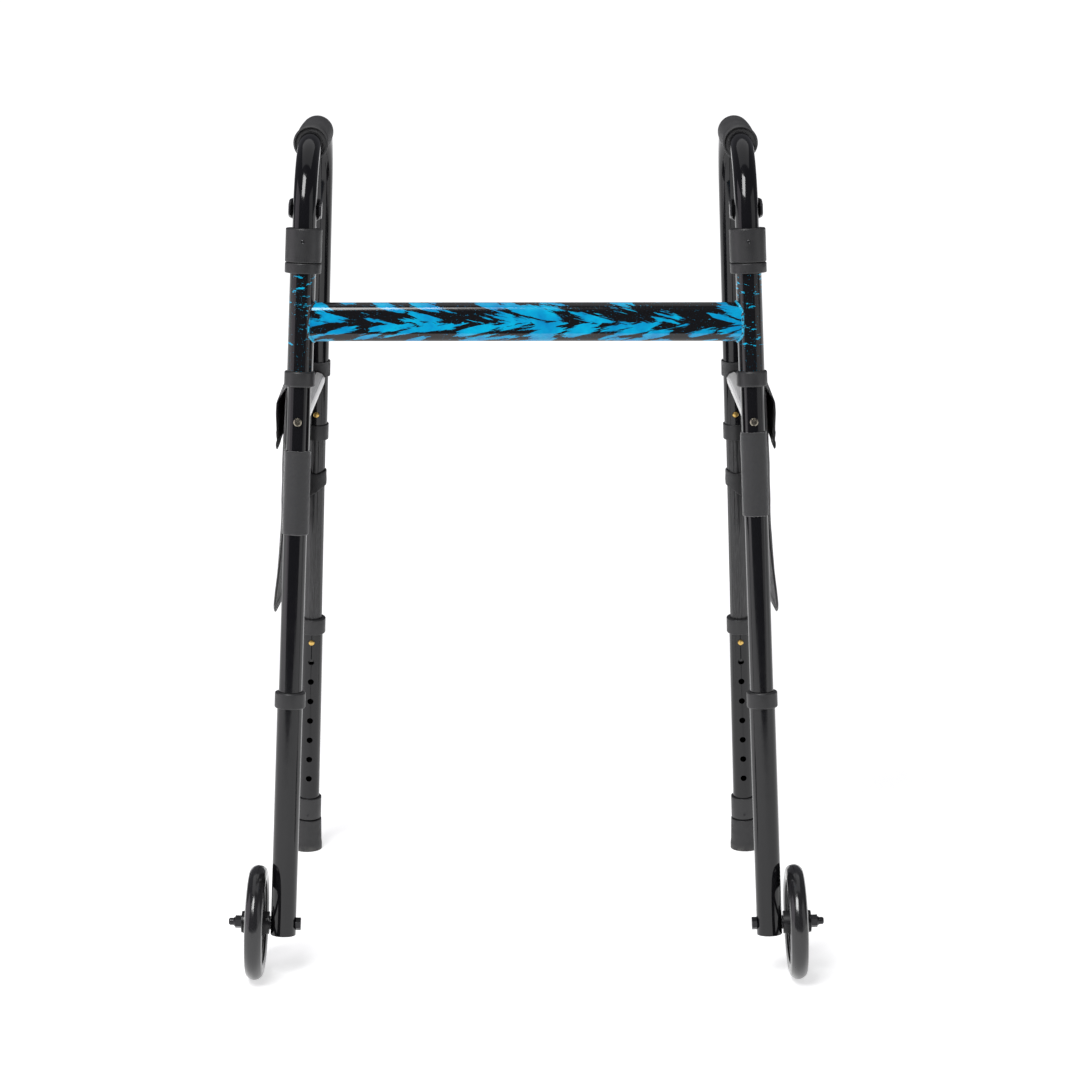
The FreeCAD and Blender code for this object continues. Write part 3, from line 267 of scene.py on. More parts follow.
def splashed_paint(paint):
    """Black paint under bright strokes that fan along the bar."""
    coat = Finish("splashed_paint", tuple(paint.black), 0.14, Coat_Weight=0.2, Coat_Roughness=0.04, IOR=1.45)
    split = coat.node("ShaderNodeSeparateXYZ")
    coat.link(coat.places(), split.inputs["Vector"])
    x, z = split.outputs["X"], split.outputs["Z"]
    height = coat.maths("SUBTRACT", z, 0.7248)
    ragged = coat.maths("MULTIPLY_ADD", coat.grain(70, 3), 0.012, coat.maths("ADD", height, -0.0068))
    upper = coat.span(ragged, 0.0, 0.001)

    def strokes(slope, shift):
        """Flakes with streaked edges, drawn out along the slope."""
        slant = coat.maths("MULTIPLY_ADD", x, slope, height)

        def stretched(step, wide):
            where = coat.node("ShaderNodeCombineXYZ")
            coat.link(coat.maths("MULTIPLY_ADD", x, step, shift), where.inputs["X"])
            coat.link(coat.maths("MULTIPLY_ADD", slant, wide, shift * 1.7), where.inputs["Y"])
            coat.link(coat.maths("MULTIPLY", split.outputs["Y"], 40), where.inputs["Z"])
            return where.outputs["Vector"]

        cells = coat.node("ShaderNodeTexVoronoi")
        cells.inputs["Scale"].default_value = 1.0
        coat.link(stretched(26, 105), cells.inputs["Vector"])
        streaks = coat.grain(1.0, 4.0, 0.7, stretched(24, 330), 0.1)
        flake = coat.maths("MULTIPLY_ADD", cells.outputs["Distance"], -0.50, 0.5)
        return coat.maths("MULTIPLY_ADD", streaks, 0.75, flake)

    def cut_at(value, low):
        return coat.span(coat.maths("SUBTRACT", value, low), 0.0, 0.012)

    both = coat.node("ShaderNodeMix")
    coat.link(upper, both.inputs["Factor"])
    coat.link(strokes(-0.20, 5.3), both.inputs["A"])
    coat.link(strokes(0.26, 1.9), both.inputs["B"])
    drawn = both.outputs["Result"]
    near_middle = coat.span(coat.maths("ABSOLUTE", coat.maths("SUBTRACT", x, 0.005)), 0.012, 0.035, 0.10, 0.0)
    bare = coat.span(coat.maths("ABSOLUTE", coat.maths("SUBTRACT", x, 0.172)), 0.006, 0.030, 0.13, 0.0)
    low_left = coat.maths("MULTIPLY", coat.span(x, -0.10, -0.02, 0.10, 0.0),
                          coat.span(height, -0.014, -0.006, 1, 0))
    limit = coat.maths("ADD", coat.maths("ADD", coat.maths("SUBTRACT", 0.640, near_middle), bare), low_left)
    main = cut_at(drawn, limit)
    fine = cut_at(coat.grain(1.0, 4.0, 0.7, coat.places((90, 90, 520), (0, math.radians(12), 0))), 0.665)
    specks = coat.span(coat.grain(900, 2, 0.5), 0.715, 0.725)
    cover = coat.maths("MAXIMUM", coat.maths("MAXIMUM", main, fine), specks)
    bright = tuple(paint.splash)
    deep = (0.0, bright[1] * 0.55, bright[2] * 0.75)
    tone = coat.blend(coat.span(coat.grain(45, 3), 0.35, 0.65), deep, bright)
    coat.colour_from(coat.blend(cover, tuple(paint.black), tone))
    coat.bump(cover, 0.00003, 0.35)
    return coat


def sleeve_paint(paint):
    """Black paint with a few bright drops and slanted strokes."""
    coat = Finish("sleeve_paint", tuple(paint.black), 0.14, Coat_Weight=0.2, Coat_Roughness=0.04, IOR=1.45)
    strokes = coat.grain(1.0, 4, 0.68, coat.places((52, 52, 230), (0, math.radians(-28), 0)), 0.1)
    split = coat.node("ShaderNodeSeparateXYZ")
    coat.link(coat.places(), split.inputs["Vector"])
    band = coat.span(split.outputs["Z"], 0.690, 0.712)
    cover = coat.maths("MULTIPLY", coat.span(strokes, 0.600, 0.612), coat.maths("GREATER_THAN", band, 0.5))
    specks = coat.span(coat.grain(820, 2, 0.5), 0.715, 0.725)
    cover = coat.maths("MAXIMUM", cover, specks)
    coat.colour_from(coat.blend(cover, tuple(paint.black), tuple(paint.splash)))
    coat.bump(cover, 0.00003, 0.35)
    return coat


def grooved_paint(paint):
    """Satin paint on the fluted tube, with rub lines along it."""
    coat = Finish("grooved_paint", (0.014, 0.014, 0.015), 0.3, Coat_Weight=0.2, Coat_Roughness=0.2)
    rubbed = coat.grain(1.0, 5, 0.6, coat.places((600, 600, 9)))
    coat.colour_from(coat.blend(coat.span(rubbed, 0.45, 0.8), (0.010, 0.010, 0.011), (0.05, 0.05, 0.052)))
    coat.rough_from(coat.span(rubbed, 0.3, 0.7, 0.24, 0.42))
    coat.bump(rubbed, 0.00003, 0.4)
    return coat


def moulded_plastic(paint):
    """Satin black moulding with a fine spark-eroded grain."""
    plastic = Finish("moulded_plastic", tuple(paint.plastic), 0.42, IOR=1.48)
    plastic.rough_from(plastic.span(plastic.grain(70, 5), 0.3, 0.7, 0.34, 0.50))
    plastic.bump(plastic.grain(2600, 3, 0.6), 0.00004, 0.55)
    return plastic


def paddle_plastic(paint):
    plastic = Finish("paddle_plastic", (0.020, 0.020, 0.022), 0.28, IOR=1.5)
    plastic.rough_from(plastic.span(plastic.grain(90, 5), 0.3, 0.7, 0.20, 0.34))
    plastic.bump(plastic.grain(1500, 3), 0.00003, 0.4)
    return plastic


def grip_rubber(paint):
    """Soft foam rubber: a dense skin of tiny cells."""
    rubber = Finish("grip_rubber", tuple(paint.rubber), 0.62, Specular_IOR_Level=0.35)
    cells = rubber.node("ShaderNodeTexVoronoi")
    cells.inputs["Scale"].default_value = 1500
    rubber.link(rubber.places(), cells.inputs["Vector"])
    worn = rubber.grain(38, 5)
    rubber.colour_from(rubber.blend(rubber.span(worn, 0.35, 0.7), tuple(paint.rubber),
                                    tuple(c * 1.7 for c in paint.rubber)))
    rubber.rough_from(rubber.span(worn, 0.3, 0.7, 0.52, 0.70))
    rubber.bump(cells.outputs["Distance"], 0.00012, 0.6)
    return rubber


def tip_rubber(paint):
    rubber = Finish("tip_rubber", (0.020, 0.020, 0.021), 0.55)
    scuffed = rubber.grain(120, 6, 0.65)
    low = rubber.node("ShaderNodeSeparateXYZ")
    rubber.link(rubber.places(), low.inputs["Vector"])
    near_floor = rubber.span(low.outputs["Z"], 0.0, 0.008, 1.0, 0.0)
    dusty = rubber.maths("MULTIPLY", near_floor, rubber.span(scuffed, 0.4, 0.65))
    rubber.colour_from(rubber.blend(dusty, (0.020, 0.020, 0.021), (0.10, 0.097, 0.09)))
    rubber.rough_from(rubber.span(scuffed, 0.3, 0.7, 0.45, 0.66))
    rubber.bump(rubber.grain(1900, 4), 0.00008, 0.6)
    return rubber


def tyre_rubber(paint):
    """Hard glossy tyre, lightly scuffed where it rolls."""
    rubber = Finish("tyre_rubber", (0.012, 0.012, 0.013), 0.2, Coat_Weight=0.35, Coat_Roughness=0.08)
    scuffs = rubber.grain(260, 6, 0.7)
    rubber.rough_from(rubber.span(scuffs, 0.35, 0.7, 0.13, 0.30))
    rubber.bump(rubber.grain(700, 3), 0.00003, 0.5)
    return rubber


def wheel_plastic(paint):
    plastic = Finish("wheel_plastic", (0.016, 0.016, 0.017), 0.3)
    plastic.rough_from(plastic.span(plastic.grain(110, 4), 0.3, 0.7, 0.24, 0.4))
    plastic.bump(plastic.grain(1800, 3), 0.00003, 0.4)
    return plastic


def metal(name, base, low, high, scale, stretch=(1, 1, 1)):
    """Bare or plated metal, its shine broken up by fine marks."""
    made = Finish(name, base, (low + high) / 2, 1.0)
    marks = made.grain(scale, 6, 0.65, made.places(stretch))
    made.rough_from(made.span(marks, 0.3, 0.7, low, high))
    made.colour_from(made.blend(made.span(marks, 0.3, 0.75), tuple(c * 0.82 for c in base), tuple(base)))
    made.bump(marks, 0.00002, 0.4)
    return made


def woven_cloth(name, base, thread, rough=0.8, uv=False, sheen=0.35):
    """Plain weave: warp and weft threads over and under, with lint between; the thread crowns are painted lighter
    and the hollows darker as painted shade.
    """
    cloth = Finish(name, base, rough, Sheen_Weight=sheen, Sheen_Roughness=0.45)
    across, along = ("X", "Y") if uv else ("Y", "Z")
    split = cloth.node("ShaderNodeSeparateXYZ")
    cloth.link(cloth.places(uv=uv), split.inputs["Vector"])
    turn = 2 * math.pi / thread
    warp = cloth.maths("SINE", cloth.maths("MULTIPLY", split.outputs[across], turn))
    weft = cloth.maths("SINE", cloth.maths("MULTIPLY", split.outputs[along], turn))
    over = cloth.maths("MULTIPLY", warp, weft)
    threads = cloth.maths("ADD", cloth.maths("ABSOLUTE", warp), cloth.maths("ABSOLUTE", weft))
    height = cloth.maths("MULTIPLY_ADD", over, 0.5, threads)
    lint = cloth.grain(420, 5, 0.7)
    # Painted shade: hollows of the weave darker and thread crowns lighter, plus lighter lint at random.
    shade = cloth.maths("ADD", cloth.span(height, 0.0, 2.0, 0.0, 0.6), cloth.span(lint, 0.35, 0.75, 0.0, 0.4))
    cloth.colour_from(cloth.blend(shade, tuple(c * 0.6 for c in base), tuple(c * 1.9 for c in base)))
    cloth.bump(height, thread * 0.25, 0.7)
    return cloth


def hook_tape(paint):
    """Fuzzy hook-and-loop tape: short fibres over a knit."""
    tape = Finish("hook_tape", (0.030, 0.030, 0.031), 0.9, Sheen_Weight=0.5, Sheen_Roughness=0.4)
    fuzz = tape.grain(1700, 5, 0.75)
    knit = tape.grain(1.0, 3, 0.6, tape.places((900, 900, 2600)))
    tape.colour_from(tape.blend(tape.span(fuzz, 0.35, 0.7), (0.014, 0.014, 0.015), (0.055, 0.055, 0.057)))
    tape.bump(tape.maths("ADD", fuzz, knit), 0.00035, 0.8)
    return tape


def stitched_tape(paint):
    """Ribbed binding with a row of stitches, read from the strip's own UV map in metres."""
    tape = Finish("stitched_tape", (0.018, 0.018, 0.019), 0.75, Sheen_Weight=0.4, Sheen_Roughness=0.4)
    split = tape.node("ShaderNodeSeparateXYZ")
    tape.link(tape.places(uv=True), split.inputs["Vector"])
    ribs = tape.maths("SINE", tape.maths("MULTIPLY", split.outputs["X"], 2 * math.pi / 0.0011))
    step = tape.maths("FRACT", tape.maths("DIVIDE", split.outputs["X"], 0.0034))
    dash = tape.maths("MULTIPLY", tape.span(step, 0.10, 0.16), tape.span(step, 0.72, 0.78, 1.0, 0.0))
    off = tape.maths("ABSOLUTE", tape.maths("SUBTRACT", tape.maths("ABSOLUTE", split.outputs["Y"]), 0.0058))
    line = tape.span(off, 0.0003, 0.0006, 1.0, 0.0)
    stitch = tape.maths("MULTIPLY", dash, line)
    tape.colour_from(tape.blend(stitch, (0.016, 0.016, 0.017), (0.075, 0.075, 0.078)))
    tape.bump(tape.maths("MULTIPLY_ADD", stitch, 3.0, ribs), 0.00012, 0.7)
    return tape


def label_film(paint):
    """Pale sheet painted as the reflection of the bright surroundings on a side brace's inner side, with one thin
    grey rule and one bar, in metres along the sheet.
    """
    reflection_sheet = Finish("label_film", tuple(paint.label), 0.32, Coat_Weight=0.3, Coat_Roughness=0.15)
    split = reflection_sheet.node("ShaderNodeSeparateXYZ")
    reflection_sheet.link(reflection_sheet.places(uv=True), split.inputs["Vector"])
    along, across = split.outputs["X"], split.outputs["Y"]
    rule = reflection_sheet.maths("COMPARE", across, 0.0012, 0.00035)
    bar = reflection_sheet.maths("COMPARE", along, 0.105, 0.0006)
    smudge = reflection_sheet.grain(90, 4)
    shade = reflection_sheet.blend(reflection_sheet.span(smudge, 0.3, 0.7), tuple(c * 0.88 for c in paint.label), tuple(paint.label))
    # The pale painted reflection, smudged at random, with the grey rule and bar over it.
    reflection_sheet.colour_from(reflection_sheet.blend(reflection_sheet.maths("MAXIMUM", rule, bar), shade, (0.16, 0.16, 0.17)))
    reflection_sheet.bump(smudge, 0.00002, 0.3)
    return reflection_sheet


def weld_metal(paint):
    """Painted weld bead with overlapping ripples."""
    bead = Finish("painted_weld", tuple(paint.black), 0.24, Coat_Weight=0.5, Coat_Roughness=0.08)
    split = bead.node("ShaderNodeSeparateXYZ")
    bead.link(bead.places(), split.inputs["Vector"])
    ripple = 0.0016
    turn = bead.maths("MULTIPLY", bead.maths("ADD", split.outputs["Z"], split.outputs["Y"]),
                      2 * math.pi / ripple)
    cover = bead.span(bead.grain(75, 3), 0.47, 0.485)
    bead.colour_from(bead.blend(cover, tuple(paint.black), tuple(paint.splash)))
    bead.bump(bead.maths("ADD", bead.maths("SINE", turn), bead.grain(900, 3)), 0.00025, 0.8)
    return bead


def floor_paper(paint):
    paper = Finish("floor_paper", (0.80, 0.80, 0.80), 0.85, Emission_Color=(1, 1, 1, 1))
    split = paper.node("ShaderNodeSeparateXYZ")
    paper.link(paper.places(), split.inputs["Vector"])
    glow = paper.span(split.outputs["Y"], 0.8, 3.5, 0.62, 0.97, True)
    paper.link(glow, paper.shader.inputs["Emission Strength"])
    fibres = paper.grain(3, 3)
    paper.colour_from(paper.blend(fibres, (0.79, 0.79, 0.79), (0.81, 0.81, 0.81)))
    return paper


def material(name):
    return Finish.made[name]


# ---- making pieces -----------------------------------------------------------------------------

def piece(name, shape, finish, body, place=None, smooth=35.0, normals=True):
    """Puts the finished bmesh in the frame as one object that rides on its body."""
    if place is not None:
        shape.transform(place)
    if normals:
        bmesh.ops.recalc_face_normals(shape, faces=shape.faces)
    mesh = bpy.data.meshes.new(name)
    shape.to_mesh(mesh)
    shape.free()
    for face in mesh.polygons:
        face.use_smooth = True
    mesh.set_sharp_from_angle(angle=math.radians(smooth))
    made = bpy.data.objects.new(name, mesh)
    bpy.context.scene.collection.objects.link(made)
    mesh.materials.append(material(finish))
    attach(made, body)
    return made


def lathe(points, steps=96):
    """Spins an outline of (radius, height) round Z. Its ends on the axis close by themselves."""
    shape = bmesh.new()
    corners = [shape.verts.new((radius, 0, height)) for radius, height in points]
    edges = [shape.edges.new(pair) for pair in zip(corners, corners[1:])]
    if points[0][0] > 1e-7 and points[-1][0] > 1e-7:
        edges.append(shape.edges.new((corners[-1], corners[0])))
    bmesh.ops.spin(shape, geom=corners + edges, axis=(0, 0, 1), cent=(0, 0, 0), steps=steps,
                   angle=2 * math.pi, use_merge=True)
    bmesh.ops.remove_doubles(shape, verts=shape.verts, dist=1e-7)
    return shape


def block(size, centre, bevel=0.0, segments=3):
    """A box with rounded edges."""
    shape = bmesh.new()
    bmesh.ops.create_cube(shape, size=1.0)
    bmesh.ops.scale(shape, vec=size, verts=shape.verts)
    if bevel:
        bmesh.ops.bevel(shape, geom=shape.edges[:], offset=bevel, segments=segments, affect="EDGES",
                        profile=0.5, material=-1)
    bmesh.ops.translate(shape, vec=centre, verts=shape.verts)
    return shape


def join(shapes):
    """Several shapes as one bmesh."""
    whole = bmesh.new()
    for shape in shapes:
        carrier = bpy.data.meshes.new("carrier")
        shape.to_mesh(carrier)
        shape.free()
        whole.from_mesh(carrier)
        bpy.data.meshes.remove(carrier)
    return whole


def sheet_grid(columns, rows, placed, uv=None):
    """A grid of columns by rows cells, each corner moved by placed(u, v) with u and v from 0 to 1."""
    shape = bmesh.new()
    bmesh.ops.create_grid(shape, x_segments=columns, y_segments=rows, size=0.5)
    shape.verts.ensure_lookup_table()
    spots = {v: (v.co.x + 0.5, v.co.y + 0.5) for v in shape.verts}
    if uv is not None:
        layer = shape.loops.layers.uv.new("UVMap")
        for face in shape.faces:
            for loop in face.loops:
                loop[layer].uv = uv(*spots[loop.vert])
    for vert, (u, v) in spots.items():
        vert.co = placed(u, v)
    return shape


def thicken(made, thickness, offset=0.0, levels=1):
    """Gives a sheet its thickness and softens it."""
    wall = made.modifiers.new("Wall", "SOLIDIFY")
    wall.thickness = thickness
    wall.offset = offset
    wall.use_even_offset = True
    if levels:
        soft = made.modifiers.new("Soft", "SUBSURF")
        soft.levels = levels
        soft.render_levels = levels
    return made


def clothed(node, finish, angle=30.0):
    """Gives a carried-over node its finish and smooth shading without touching its mesh."""
    made = NODES[node]
    made.data.materials.clear()
    made.data.materials.append(material(finish))
    for face in made.data.polygons:
        face.use_smooth = True
    weld = made.modifiers.new("Weld", "WELD")
    weld.merge_threshold = 0.000005
    split = made.modifiers.new("Edges", "EDGE_SPLIT")
    split.split_angle = math.radians(angle)
    split.use_edge_sharp = False
    return made


def leg_height(height):
    return height * ALONG


def wavy(point, scale, amount, seed=0.0):
    return noise.noise(Vector(point) * scale + Vector((seed, seed * 0.7, -seed))) * amount


# ---- operators ---------------------------------------------------------------------------------

class WALKER_OT_finishes(bpy.types.Operator):
    """Make every finish and dress the nodes that keep their own shape"""

    bl_idname = "walker.finishes"
    bl_label = "Paint and Metal"

    def execute(self, context):
        paint = context.scene.walker_paint
        for make in (black_paint, splashed_paint, sleeve_paint, grooved_paint, moulded_plastic, paddle_plastic,
                     grip_rubber, tip_rubber, tyre_rubber, wheel_plastic, hook_tape, stitched_tape, label_film,
                     weld_metal, floor_paper):
            make(paint)
        metal("brass", tuple(paint.brass), 0.28, 0.42, 500)
        metal("plated_bolt", (0.34, 0.31, 0.25), 0.14, 0.30, 500)
        metal("zinc_steel", (0.62, 0.62, 0.63), 0.2, 0.4, 420)
        metal("black_steel", (0.05, 0.05, 0.052), 0.22, 0.4, 420)
        metal("spring_steel", (0.42, 0.42, 0.44), 0.25, 0.4, 500)
        woven_cloth("pouch_cloth", tuple(paint.cloth), 0.0013)
        woven_cloth("webbing", (0.020, 0.020, 0.021), 0.0016, 0.75, uv=True)
        nylon = Finish("nylon", (0.62, 0.60, 0.55), 0.45, Subsurface_Weight=0.1)
        nylon.rough_from(nylon.span(nylon.grain(200, 3), 0.3, 0.7, 0.38, 0.52))
        for node, finish in (("cross_bar", "splashed_paint"), ("hinge_sleeves", "sleeve_paint"),
                             ("lock_rings", "moulded_plastic"), ("sleeve_collars", "moulded_plastic")):
            clothed(node, finish)
        for tag, side in SIDES:
            for part, finish in (
                ("side_tube", "black_paint"), ("hand_grip", "grip_rubber"), ("lock_housing", "moulded_plastic"),
                ("release_paddle", "paddle_plastic"), ("lock_pin", "zinc_steel"), ("paddle_pin", "zinc_steel"),
                ("paddle_spring", "spring_steel"), ("side_brace", "black_paint"), ("brace_bolts", "plated_bolt"),
                ("rear_middle_tube", "grooved_paint"), ("rear_upper_collar", "moulded_plastic"),
                ("pouch", "pouch_cloth"), ("pouch_straps", "hook_tape"), ("button_springs", "spring_steel"),
                ("rear_upper_button", "brass"), ("rear_lower_button", "brass"), ("front_button", "brass"),
                ("rear_lower_tube", "black_paint"), ("rear_lower_collar", "moulded_plastic"),
                ("foot_ring", "moulded_plastic"), ("foot_tip", "tip_rubber"), ("front_extension", "black_paint"),
                ("front_collar", "moulded_plastic"), ("axle_bolt", "black_steel"),
                ("axle_fasteners", "black_steel"), ("wheel_hub", "wheel_plastic"), ("wheel_tyre", "tyre_rubber"),
                ("wheel_bush", "nylon"),
            ):
                clothed("%s_%s" % (tag, part), finish)
        return {"FINISHED"}


class WALKER_OT_grips(bpy.types.Operator):
    """Turn the hand grips with their front ring, recess and fine ribs"""

    bl_idname = "walker.grips"
    bl_label = "Hand Grips"

    def execute(self, context):
        size = context.scene.walker_grip
        for tag, side in SIDES:
            low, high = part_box(tag + "_hand_grip")
            long = high.y - low.y
            ring, recess, bore, waist = size.ring, size.recess, size.bore, size.waist
            points = [(bore, recess), (ring - 0.0030, recess), (ring - 0.0026, recess - 0.0004),
                      (ring - 0.0024, 0.0006), (ring - 0.0018, 0.0), (ring - 0.0010, 0.0), (ring - 0.0003, 0.0004),
                      (ring, 0.0011), (ring, 0.0030), (ring - 0.0004, 0.0037), (ring - 0.0012, 0.0042),
                      (waist - 0.0004, 0.0046)]
            ribs, pitch, deep = 5, 0.0034, 0.0009
            for index in range(ribs):
                at = 0.0054 + index * pitch
                points += [(waist - deep, at), (waist - 0.0002, at + 0.0003), (waist + 0.0001, at + 0.0009),
                           (waist - 0.0002, at + 0.0016), (waist - deep, at + 0.0020)]
            start = 0.0054 + ribs * pitch + 0.0004
            end = long - 0.0035
            for index in range(33):
                share = index / 32
                swell = math.sin(math.pi * share) ** 0.8
                points.append((waist + (size.middle - waist) * swell, start + (end - start) * share))
            points += [(waist - 0.0003, long - 0.0020), (waist - 0.0011, long - 0.0007),
                       (waist - 0.0022, long), (bore + 0.0006, long), (bore, long - 0.0006)]
            place = Matrix.Translation(((low.x + high.x) / 2, low.y, (low.z + high.z) / 2))
            place = place @ Matrix.Rotation(math.radians(-90), 4, "X")
            made = piece(tag + "_grip", lathe(points, 128), "grip_rubber", tag + "_side_frame", place)
            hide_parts(tag + "_hand_grip")
        return {"FINISHED"}


class WALKER_OT_paddles(bpy.types.Operator):
    """Shape the release paddles: a cupped back with two leaf-shaped ears"""

    bl_idname = "walker.paddles"
    bl_label = "Release Paddles"

    def execute(self, context):
        size = context.scene.walker_paddle
        for tag, side in SIDES:
            pivot = Vector((0, size.pivot_back, leg_height(size.pivot_height)))
            rise = size.top - size.pivot_height

            def cup(u, v):
                """u runs round the cup from ear to ear, v up from the neck."""
                around = (u - 0.5) * 2
                up = v ** 0.9
                open_up = min(1.0, max(0.0, (up - 0.34) / 0.30))
                leaf = 0.34 + 0.66 * open_up * open_up * (3 - 2 * open_up)
                wide = around * leaf
                reach = size.reach * min(1.0, abs(wide) * 1.7) ** 0.8 * math.copysign(1, wide)
                if abs(wide) > 0.45:
                    forward = ((abs(wide) - 0.45) / 0.55) ** 1.15
                else:
                    forward = 0.0
                corner = 0.0035 * min(1.0, abs(wide) / 0.6) ** 3
                y = size.pivot_back + 0.0012 - corner - forward * (size.pivot_back - 0.0035)
                round_top = 0.0085 * abs(around) ** 2.4
                z = pivot.z + 0.001 + up * rise - round_top * up
                return Vector((reach, y, z))

            shape = sheet_grid(28, 18, cup)
            made = piece(tag + "_paddle", shape, "paddle_plastic", tag + "_paddle",
                         front_leg(tag, side), 60, True)
            thicken(made, size.thick, 0.0, 2)
            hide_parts(tag + "_release_paddle")
            barrel = lathe([(0.0016, -0.0056), (0.0030, -0.0056), (0.0034, -0.0052), (0.0034, 0.0052),
                            (0.0030, 0.0056), (0.0016, 0.0056)], 40)
            barrel.transform(Matrix.Translation(pivot) @ Matrix.Rotation(math.radians(90), 4, "Y"))
            root = block((0.0100, 0.0034, 0.0088), pivot + Vector((0, 0.0005, 0.0046)), 0.0006)
            toes = [block((0.0022, 0.0110, 0.0020), pivot + Vector((x, -0.0055, 0.0080)), 0.0005)
                    for x in (-0.0037, 0.0037)]
            piece(tag + "_paddle_toes", join([barrel, root, *toes]), "paddle_plastic", tag + "_paddle",
                  front_leg(tag, side))
        return {"FINISHED"}


class WALKER_OT_wheels(bpy.types.Operator):
    """Spin the tyres with their mould line and side beads"""

    bl_idname = "walker.wheels"
    bl_label = "Wheels"

    def execute(self, context):
        for tag, side in SIDES:
            joint = JOINTS[tag + "_wheel_spin"]
            place = front_leg(tag, side)
            place.translation = Vector(joint["pos_m"])
            place = place @ Matrix.Rotation(math.radians(90), 4, "Y")
            points = []
            for index in range(49):
                angle = math.radians(-128 + index * 256 / 48)
                radius = 0.0535 + 0.0100 * math.cos(angle)
                height = 0.0100 * math.sin(angle)
                if abs(height) < 0.0003:
                    radius += 0.00012
                if 0.0078 < abs(height) < 0.0086 and math.cos(angle) < 0.7:
                    height *= 1.03
                points.append((radius, height))
            made = piece(tag + "_tyre", lathe(points, 160), "tyre_rubber", tag + "_wheel", place, 50)
            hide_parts(tag + "_wheel_tyre")
            cap = lathe([(0, 0.0602), (0.0020, 0.0600), (0.0030, 0.0592), (0.0034, 0.0560), (0.0055, 0.0534),
                         (0.0062, 0.0530), (0.0062, 0.0524), (0.0042, 0.0524)], 48)
            outward = Matrix.Rotation(math.radians(90), 4, "Y")
            if side < 0:
                outward = outward @ Matrix.Rotation(math.radians(180), 4, "X")
            seat = front_leg(tag, side) @ Matrix.Translation((0, 0, AXLE)) @ outward
            piece(tag + "_axle_cap", cap, "black_steel", tag + "_front_leg", seat)
        return {"FINISHED"}


class WALKER_OT_brace_reflections(bpy.types.Operator):
    """Lay a pale sheet painted as the reflection on each side brace's inner side, and the small dark discs on the
    fittings, the housing's disc darkened as painted shade of its dimple
    """

    bl_idname = "walker.labels"
    bl_label = "Brace Reflections and Marks"

    def execute(self, context):
        for tag, side in SIDES:
            front, rear = front_leg(tag, side), rear_leg(tag, side)
            start = front @ Vector((0, 0, leg_height(0.619)))
            end = rear @ Vector((0, 0, leg_height(0.603)))
            way = (end - start).normalized()
            across = Vector(JOINTS[tag + "_wheel_spin"]["axis"])
            place = axes(start, across, way)
            radius = 0.01012
            long = (end - start).length

            def reflection_sheet(u, v):
                """u runs round the brace from the inner side to the top, v along it."""
                along = 0.022 + v * (long - 0.052)
                edge = min(along - 0.022, long - 0.030 - along)
                trim = 0.006 - math.sqrt(max(0.0, 0.006 ** 2 - max(0.0, 0.006 - edge) ** 2))
                half = 0.0098 - trim
                angle = math.radians(148) if side > 0 else math.radians(32)
                angle += (u - 0.5) * 2 * half / radius
                return Vector((radius * math.cos(angle), -radius * math.sin(angle), along))

            # A pale sheet round the brace's inner side, standing in for the painted reflection of the bright
            # surroundings.
            shape = sheet_grid(14, 96, reflection_sheet, lambda u, v: (v * (long - 0.052), (u - 0.5) * 0.0196))
            piece(tag + "_brace_label", shape, "label_film", tag + "_side_frame", place, 60, True)
            dots = []
            dots.append((rear, 0.0, -0.0153, 0.0495, 0.0013))
            # A shallow dished disc on the housing's front for its dimple, finished in dark steel as painted shade
            # inside it.
            dots.append((front, 0.0, -0.0197, 0.812, 0.0016))
            marks = []
            for leg, x, y, z, r in dots:
                mark = lathe([(0, 0.0001), (r * 0.7, 0.00005), (r, 0.0003), (r * 1.25, 0.0001),
                              (r * 1.3, -0.0005), (0, -0.0005)], 24)
                mark.transform(leg @ Matrix.Translation((x, y, leg_height(z)))
                               @ Matrix.Rotation(math.radians(90), 4, "X"))
                marks.append(mark)
            piece(tag + "_foot_ring_mark", marks[0], "black_steel", tag + "_rear_leg")
            # The housing's disc: dark steel as painted shade in its dimple.
            piece(tag + "_housing_mark", marks[1], "black_steel", tag + "_side_frame")
        return {"FINISHED"}


